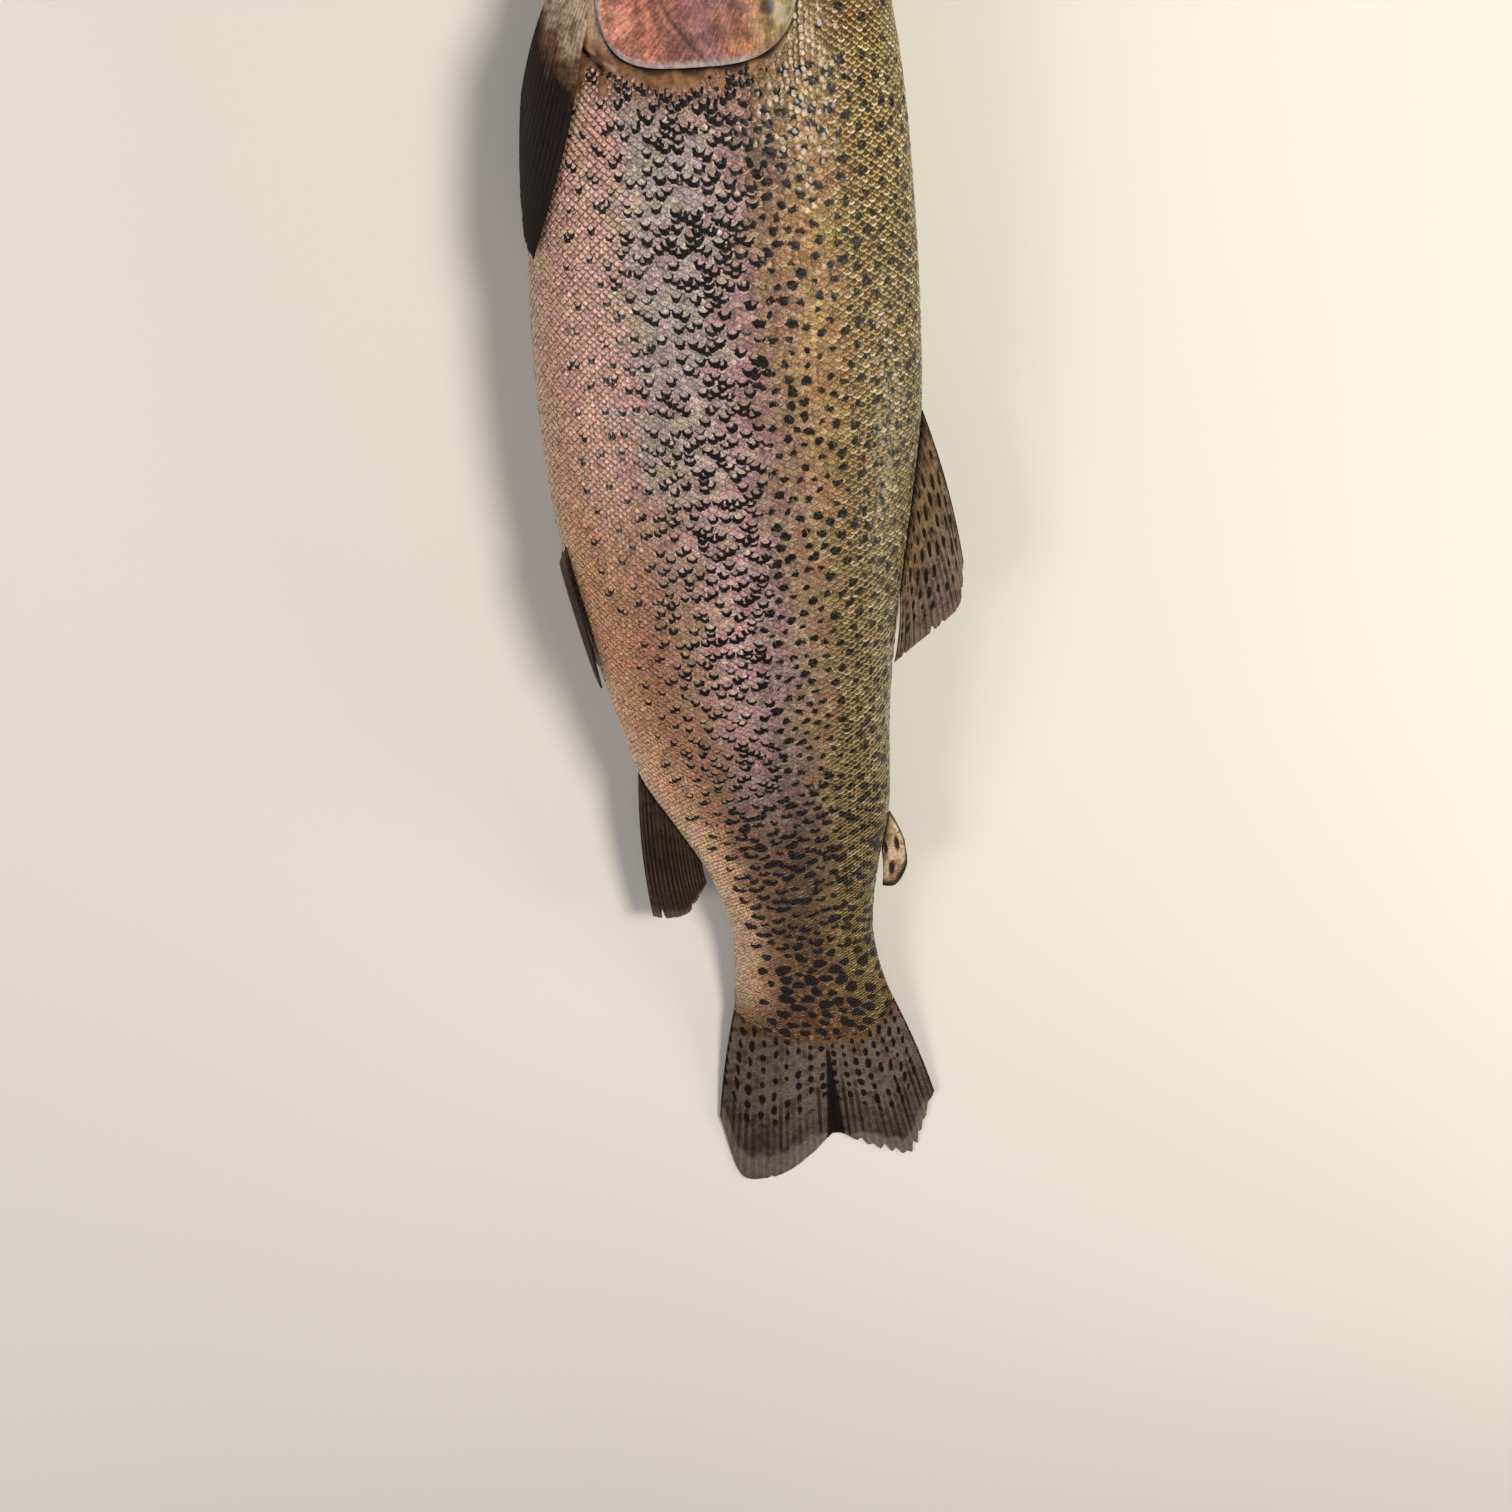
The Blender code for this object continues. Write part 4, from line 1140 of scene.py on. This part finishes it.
def coat(material):
    """All scales, in pieces along the body."""
    shape = scale_shape()
    tree = scale_tree(material)
    for side, word in SIDES:
        at = scale_places(side)
        u = u_of(at["s"], np.clip(at["w"], 0.0, 1.0), side)
        lie, out = lie_and_outward(at["s"], at["w"], u, side)
        at["tone"] = np.clip(rng.normal(0.5, 0.24, len(u)), 0.0, 1.0)
        for key, spread in (("roll", 0.07), ("pitch", 0.036), ("yaw", 0.05)):
            at[key] = rng.normal(0.0, spread, len(u))
        at["pitch"] += 0.05 * at["sunk"]
        at.update(here=skin(at["s"], u, -0.17 - 0.20 * at["sunk"]), along=at["s"], lie=lie, outward=out,
                  root=np.stack((0.01 + at["s"] / 315.0, 0.01 + 0.98 * u, 0 * u), -1))
        cuts = np.quantile(at["s"], np.linspace(0.0, 1.0, PIECES + 1))
        cuts[-1] += 1.0
        for number in range(PIECES):
            here = (at["s"] >= cuts[number]) & (at["s"] < cuts[number + 1])
            roots = bpy.data.meshes.new("roots")
            roots.from_pydata(at["here"][here].tolist(), [], [])
            for key in ("outward", "lie", "root", "marked"):
                put(roots, key, at[key][here], 'FLOAT_VECTOR')
            for key in ("long", "wide", "roll", "pitch", "yaw", "tone", "w", "ahead", "head", "along"):
                put(roots, key, at[key][here])
            name = "scales_%s_%d" % (word, number + 1)
            mesh = grow(name, tree, roots, {"Scale shape": shape, "Length": MM, "Width": MM,
                                            "Lift at the rear": REAR_LIFT, "Patch": 0.003})
            mark_scales(mesh, side)
            show(name, mesh, material, ())
    bpy.data.objects.remove(shape)


def mark_scales(mesh, side):
    """Reads the spots at every corner of every scale, so that a spot keeps its outline across scales."""
    def read(name, width=1):
        values = np.empty(len(mesh.vertices) * width, np.float32)
        mesh.attributes[name].data.foreach_get("vector" if width == 3 else "value", values)
        return values.reshape(-1, width) if width > 1 else values

    tile, s, w, length, wide = read("tile", 3), read("along"), read("w"), read("long"), read("wide")
    g = w * half_girth(s)
    put(mesh, "spot", spot_at(s + tile[:, 0] * length, g - tile[:, 1] * wide * side, side))
    for name in ("outward", "lie", "root", "roll", "pitch", "yaw", "long", "wide"):
        mesh.attributes.remove(mesh.attributes[name])


# ---------------------------------------------------------------- fins

def fan(base, tips, bow, a, b):
    """Places of a fin in two flat measures for arrays a (across the rays) and b (out along them)."""
    foot = through(np.column_stack((np.linspace(0, 1, len(base)), base)), a)
    tip = through(np.column_stack((np.linspace(0, 1, len(tips)), tips)), a)
    ray = tip - foot
    side = np.stack((ray[..., 1], -ray[..., 0]), -1)
    return foot + b[..., None] * ray + (bow * b * (1.0 - b))[..., None] * side


def root_line(s, side):
    """Places along the back's edge (side 1) or the belly's (side -1), a gap away from the body."""
    back, belly, _ = sizes(s)
    return np.column_stack((s, axis_x(s) + (back + GAP if side > 0 else -belly - GAP)))


def ray_tree(material):
    """Geometry Nodes: each ray's path becomes a tapered rod, round in section with flat caps, of its own
    thickness.
    """
    tree, node, given = new_tree("fin_rays", (("Paths", "Geometry"), ("Sides", "Int")), "Rays")
    path = node("GeometryNodeMeshToCurve", {"Mesh": given["Paths"]})
    ring = node("GeometryNodeCurvePrimitiveCircle", {"Resolution": given["Sides"], "Radius": 1.0})
    swept = node("GeometryNodeCurveToMesh", {"Curve": path, "Profile Curve": ring, "Fill Caps": True,
                                             "Scale": node("stored", "thick")})
    even = node("GeometryNodeSetShadeSmooth", {"Geometry": swept})
    real = node("GeometryNodeRealizeInstances", {0: even})
    painted = node("GeometryNodeSetMaterial", {"Geometry": real, "Material": material})
    node("NodeGroupOutput", {"Rays": painted})
    return tree


def ray_paths(name, place, rays, margin, half, radius, split):
    """Loose polylines that run along both faces of the web, each ray forking beyond the split."""
    steps = 24
    t = np.linspace(0.0, 1.0, steps)
    points, edges, thick, marks = [], [], [], []
    for number in range(rays):
        for fork in (-1, 1):
            a = (number + 0.5) / rays + fork * 0.25 / rays * smooth((t - split) / (1.0 - split))
            b = t * (margin(a) + 0.012 * rng.uniform(-0.3, 1.0))
            r = radius[0] + (radius[1] - radius[0]) * t ** 0.8
            for face in (1, -1):
                start = len(points)
                points.extend(place(a, b, face * np.maximum(half(a, b) - 0.35 * r, 0.0)).tolist())
                edges.extend((start + k, start + k + 1) for k in range(steps - 1))
                thick.extend(r * MM)
                marks.extend(zip(b, a * rays))
    mesh = bpy.data.meshes.new(name)
    mesh.from_pydata(points, edges, [])
    put(mesh, "thick", thick)
    put(mesh, "out", [mark[0] for mark in marks])
    put(mesh, "across", [mark[1] for mark in marks])
    put(mesh, "ray", np.ones(len(points)))
    return mesh


def fin(name, material, place, rays, half, margin, solid, radius=(0.28, 0.11), split=0.5, steps=38,
        pale=None, spots=None):
    """A fin: a thin web with its rays standing proud of it on both faces.

    place(a, b, lift) gives points in metres, where a runs 0 to 1 across the rays and b out along them,
    margin(a) is how far out the web reaches and half(a, b) half its thickness in mm."""
    a = np.repeat(np.linspace(0.0, 1.0, rays * 8 + 1)[:, None], steps + 1, axis=1)
    b = np.linspace(0.0, 1.0, steps + 1)[None, :] * margin(a)
    thick = half(a, b)
    web = slab(name + "_web", place(a, b, thick), place(a, b, -thick))
    none = 0.0 * a
    marks = {"out": b, "across": a * rays, "ray": none, "pale": pale(a, b) if pale else none,
             "spot": spots(a, b) if spots else none}
    for key, values in marks.items():
        put(web, key, np.tile(values.ravel(), 2))
    bm = bmesh.new()
    bm.from_mesh(web)
    if radius:
        paths = ray_paths(name + "_paths", place, rays, margin, half, radius, split)
        out, across = (np.array([v.value for v in paths.attributes[key].data]) for key in ("out", "across"))
        put(paths, "pale", 0.6 * pale(across / rays, out) if pale else 0.0 * out)
        put(paths, "spot", spots(across / rays, out) if spots else 0.0 * out)
        bm.from_mesh(grow(name + "_rays", ray_tree(material), paths, {"Sides": 6}))
    for v in bm.verts:
        v.co.z = max(v.co.z, 0.0)
    joined = bpy.data.meshes.new(name)
    bm.to_mesh(joined)
    bm.free()
    joined.shade_smooth()
    return show(name, joined, material, (solid,))


def median_place(base, tips, bow, thick, lean=0.0):
    """Places of a fin that stands in the body's middle plane, leaning down as far as the floor lets it."""
    def place(a, b, lift):
        bend = bow(a) if callable(bow) else bow + 0.0 * a
        grid = fan(base, tips, bend, a, b)
        foot = fan(base, tips, bend, a, b * 0.0)[..., 1]
        half = (thick[0] + (thick[1] - thick[0]) * b) / 2
        middle = np.maximum(axis_z(grid[..., 0]) - lean * np.abs(grid[..., 1] - foot), np.maximum(half, 0.4))
        return world(grid[..., 0], grid[..., 1], middle + lift)
    return place


def paired_place(base, tips, rise, side):
    """Places of a fin that lies folded back along the skin."""
    def place(a, b, lift):
        grid = fan(base, tips, 0.02 + 0.14 * (1.0 - a) ** 2, a, b)
        u = grid[..., 1] / 100.0
        root = 2.3 * np.exp(-(b / 0.10) ** 2)
        return skin(grid[..., 0], u if side > 0 else 1.0 - u, GAP + 0.75 + rise * b - root + lift)
    return place


def worn(seed, depth, count, teeth=(), scallop=0.012, rays=20):
    """A margin that dips a little between the rays and has a few splits and teeth."""
    local = np.random.default_rng(seed)
    nicks = [(where, depth * size, 0.35 / rays) for where, size in
             zip(local.uniform(0.05, 0.95, count), local.uniform(0.3, 1.0, count))]
    nicks += list(teeth)

    def margin(a):
        edge = 1.0 - scallop * (0.5 - 0.5 * np.cos(4 * np.pi * rays * a))
        for where, size, width in nicks:
            edge = edge - size * np.clip(1.0 - np.abs(a - where) / width, 0.0, 1.0)
        return edge
    return margin


def thinning(root, web):
    """Half the web's thickness: fleshy at the root, thin beyond it."""
    return lambda a, b: web + (root - web) * np.exp(-(b / 0.13) ** 2) - 0.25 * web * b


def tail_fin():
    """Its root follows the end of the stem; painted shade darkens the crease where the web folds in from the
    fork and the lower lobe, and the margin is worn.
    """
    material = fin_material(
        "wet_tail_fin", ((0.0, "#6a4c2c"), (0.10, "#6a5c50"), (0.45, "#645a53"), (0.75, "#4e4542"),
                         (1.0, "#4a403d")),
        light="#857868", streak=(0.45, 0.70, 0.75), rows=10.5, window=(0.0, 0.68), size=(0.25, 0.33),
        every=2.0)
    height = np.linspace(1.0, -1.0, 11)
    s = TAIL_MIDDLE - (TAIL_MIDDLE - TAIL_EDGE) * height ** 2 + GAP
    depth_back, depth_belly, _ = sizes(s)
    base = np.column_stack((s, axis_x(s) + height * np.where(height > 0, depth_back, depth_belly)))
    tips = np.array(((330.0, 40.4), (342.0, 37.4), (352.4, 34.4), (351.6, 27.6), (347.4, 19.6), (343.4, 12.6),
                     (350.6, 5.6), (356.4, -1.2), (358.7, -8.0), (355.8, -15.2), (334.0, -19.4)))
    web = 0.36

    def half(a, b):
        stem = 2.3 * np.clip(1.0 - np.abs(2 * a - 1) ** 2.1, 0.0, 1.0) ** 0.48
        root = np.maximum(stem - 0.35, 0.55)
        return web + (root - web) * np.exp(-(b / 0.16) ** 1.5) - 0.12 * b

    def pale(a, b):
        upper, lower = 0.865 + 0.10 * smooth((a - 0.36) / 0.1), 0.83 + 0.12 * smooth((0.60 - a) / 0.08)
        start = np.where(a < 0.5, upper, lower) + 0.012 * np.sin(a * 90.0) + 0.15 * smooth((0.07 - a) / 0.05)
        return 0.85 * smooth((b - start) / 0.03)

    def spots(a, b):
        # painted shade: a dark crease where the web folds in from the fork, and a darker lower lobe
        fold_shade = smooth((0.012 + 0.030 * b - np.abs(a - 0.497)) / 0.010) * smooth((b - 0.06) / 0.1)
        edge = smooth((0.012 - np.minimum(a, 1.0 - a)) / 0.008) * 0.7
        lower_lobe_shade = 0.26 * smooth((a - 0.60) / 0.25)
        return np.maximum(np.maximum(fold_shade * 0.95, edge), lower_lobe_shade)

    rays = 34
    teeth = [(0.10 + 0.042 * k, 0.025 + 0.02 * (k % 3), 0.02) for k in range(8)] + [(0.045, 0.035, 0.03)]
    place = median_place(base, tips, lambda a: 0.05 * (2 * a - 1) ** 3, (3.8, 0.8))
    fin("caudal_fin_web", material, place, rays, half, worn(5, 0.02, 3, teeth, 0.006, rays), "caudal_fin",
        (0.18, 0.07), 0.45, 50, pale, spots)


def dorsal_fin():
    # its dark root is partly pigment and partly painted shade where the fin meets the back
    material = fin_material(
        "wet_dorsal_fin", ((0.0, "#3f2f1c"), (0.2, "#7a6248"), (0.6, "#6e5e52"), (1.0, "#6e5c56")),
        light="#9a8878", streak=(0.3, 0.9, 0.6), rows=7.0, window=(0.05, 0.85), size=(0.26, 0.30), every=1.6)
    base = root_line(np.linspace(133.6, 174.0, 6), 1)
    tips = np.array(((168.0, 45.4), (177.5, 44.7), (182.0, 40.6), (186.5, 34.6), (190.5, 29.9)))
    rays = 17
    fin("dorsal_fin_web", material, median_place(base, tips, -0.10, (1.9, 0.7), 0.12), rays,
        thinning(0.8, 0.30), worn(11, 0.06, 6, rays=rays), "dorsal_fin", (0.20, 0.09),
        pale=lambda a, b: 0.45 * smooth((b - 0.94) / 0.04),
        # spots: a dark leading edge, and a dark band at the root that is partly pigment and partly painted
        # shade where the fin meets the back
        spots=lambda a, b: np.maximum(0.8 * smooth((0.035 - a) / 0.02), 0.75 * smooth((0.07 - b) / 0.05)))


def adipose_fin():
    """A fleshy lobe without rays, black-rimmed with a few blots."""
    material = fin_material("wet_adipose_fin", ((0.0, "#7d6b4c"), (0.4, "#c8b296"), (1.0, "#a8947a")),
                            light="#8e7e5c", streak=(0.0, 1.0, 0.1))
    base = root_line(np.linspace(231.0, 243.0, 4), 1)
    tips = np.array(((240.5, 32.1), (248.0, 32.6), (254.0, 30.0), (254.4, 26.6)))

    def half(a, b):
        return (1.1 - 0.7 * b) * np.clip(1.0 - (2 * a - 1) ** 6, 0.1, 1.0) ** 0.5

    def spots(a, b):
        rim = smooth((b - 0.78) / 0.14) + smooth((0.10 - a) / 0.08)
        blots = [smooth((0.15 - np.hypot(a - a0, (b - b0) * 0.8)) / 0.08) for a0, b0 in
                 ((0.35, 0.42), (0.72, 0.60), (0.75, 0.12))]
        return np.clip(0.9 * rim + sum(blots), 0.0, 0.95)

    fin("adipose_fin_lobe", material, median_place(base, tips, -0.10, (2.4, 0.9)), 4, half,
        lambda a: 1.0 + 0.0 * a, "adipose_fin", radius=None, steps=24, spots=spots)


def anal_fin(material):
    base = root_line(np.linspace(214.8, 243.0, 6), -1)
    tips = np.array(((259.6, -30.8), (260.4, -26.6), (259.4, -22.2), (255.0, -19.4), (249.5, -16.6)))
    rays = 15
    fin("anal_fin_web", material, median_place(base, tips, 0.09, (1.9, 0.7), 0.10), rays, thinning(0.8, 0.30),
        worn(23, 0.07, 6, rays=rays), "anal_fin",
        pale=lambda a, b: 0.5 * smooth((b - 0.93) / 0.05))


def paired_fins(dark):
    """The pectoral and pelvic fins, folded back along the body; their places are (s, 100 u)."""
    breast = fin_material(
        "wet_breast_fin", ((0.0, "#b6a694"), (0.13, "#a89686"), (0.24, "#6c503c"), (0.36, "#150d09"),
                           (1.0, "#080504")), light="#2c1f18", streak=(0.25, 0.5, 0.7))
    breast_base = np.array(((55.0, 36.8), (53.0, 39.4), (51.0, 42.2)))
    breast_tips = np.array(((97.0, 43.4), (94.0, 45.2), (86.0, 46.6), (77.0, 47.4), (69.0, 47.6)))
    hip_base = np.array(((153.5, 45.6), (156.0, 47.0), (158.0, 48.4)))
    hip_tips = np.array(((189.5, 46.2), (188.0, 47.2), (184.5, 48.2), (179.0, 49.0), (173.0, 49.3)))
    half = thinning(0.6, 0.26)
    for side, word in SIDES:
        fin("pectoral_fin_web_" + word, breast, paired_place(breast_base, breast_tips, 0.5, side), 15, half,
            worn(31 + side, 0.02, 3, rays=15), "pectoral_fin_" + word, split=0.4)
        fin("pelvic_fin_web_" + word, dark, paired_place(hip_base, hip_tips, 0.4, side), 9, half,
            worn(37 + side, 0.02, 3, rays=9), "pelvic_fin_" + word, (0.26, 0.11), 0.4)


def fins():
    dark = fin_material(
        "wet_anal_fin", ((0.0, "#463424"), (0.3, "#30201a"), (0.9, "#2e201c"), (1.0, "#4c3d36")),
        light="#6a564a", streak=(0.1, 0.3, 0.75))
    tail_fin()
    dorsal_fin()
    adipose_fin()
    anal_fin(dark)
    paired_fins(dark)


# ---------------------------------------------------------------- camera, floor and light

CAMERA_TILT, CAMERA_ROLL = math.radians(28.0), math.radians(-4.0)    # towards the head, and round the view
CAMERA_DISTANCE = 347.1
CAMERA_AIM = (211.4, -2.4, 20.0)      # s, x and height of the point in the middle of the view


def camera():
    forward = Vector((0.0, -math.sin(CAMERA_TILT), -math.cos(CAMERA_TILT)))
    level, over = Vector((1.0, 0.0, 0.0)), Vector((0.0, math.cos(CAMERA_TILT), -math.sin(CAMERA_TILT)))
    right = math.cos(CAMERA_ROLL) * level + math.sin(CAMERA_ROLL) * over
    up = -math.sin(CAMERA_ROLL) * level + math.cos(CAMERA_ROLL) * over
    data = bpy.data.cameras.new("camera")
    data.lens, data.sensor_width = 36.0, 36.0
    data.clip_start, data.clip_end = 0.01, 50.0
    holder = bpy.data.objects.new("camera", data)
    pose = Matrix((right, up, -forward)).transposed().to_4x4()
    pose.translation = Vector(world(*CAMERA_AIM)) - CAMERA_DISTANCE * MM * forward
    holder.matrix_world = pose
    bpy.context.scene.collection.objects.link(holder)
    bpy.context.scene.camera = holder


def lay_floor():
    bpy.ops.mesh.primitive_plane_add(size=6.0)
    floor = bpy.context.object
    floor.name = "floor"
    material, node, shader = new_material("pale_floor", 0.8, specular=0.2)
    paint = node("ramp", lumps(node, 400.0, 2.0), stops=((0.3, "#d8d6d2"), (0.7, "#dddbd8")))
    feed(shader, "Base Color", paint)
    floor.data.materials.append(material)


def lamp(name, place, size, power, colour):
    light = bpy.data.lights.new(name, 'AREA')
    light.shape, light.size, light.energy, light.color = 'DISK', size, power, srgb(colour)[:3]
    holder = bpy.data.objects.new(name, light)
    holder.location = place
    holder.rotation_euler = (-Vector(place)).to_track_quat('-Z', 'Y').to_euler()
    bpy.context.scene.collection.objects.link(holder)


def studio():
    camera()
    lay_floor()
    lamp("key", (0.46, 0.34, 0.78), 0.28, 8.0, "#fff4e2")
    lamp("low", (0.60, -0.08, 0.20), 0.20, 1.6, "#fff4e6")
    lamp("fill", (-0.80, -0.10, 0.70), 0.5, 4.4, "#fff9f2")
    sky = bpy.data.worlds.new("soft_room")
    sky.use_nodes = True
    background = sky.node_tree.nodes["Background"].inputs
    background["Color"].default_value = srgb("#e9e9ea")
    background["Strength"].default_value = 0.24
    bpy.context.scene.world = sky
    bpy.context.scene.view_settings.view_transform = 'Standard'


studio()
body_skin(skin_material())
cover_look, eye_look = cover_material(), eye_material()
for flank_side, side_word in SIDES:
    gill_cover(flank_side, side_word, cover_look)
    eye(flank_side, side_word, eye_look)
coat(coat_material())
fins()
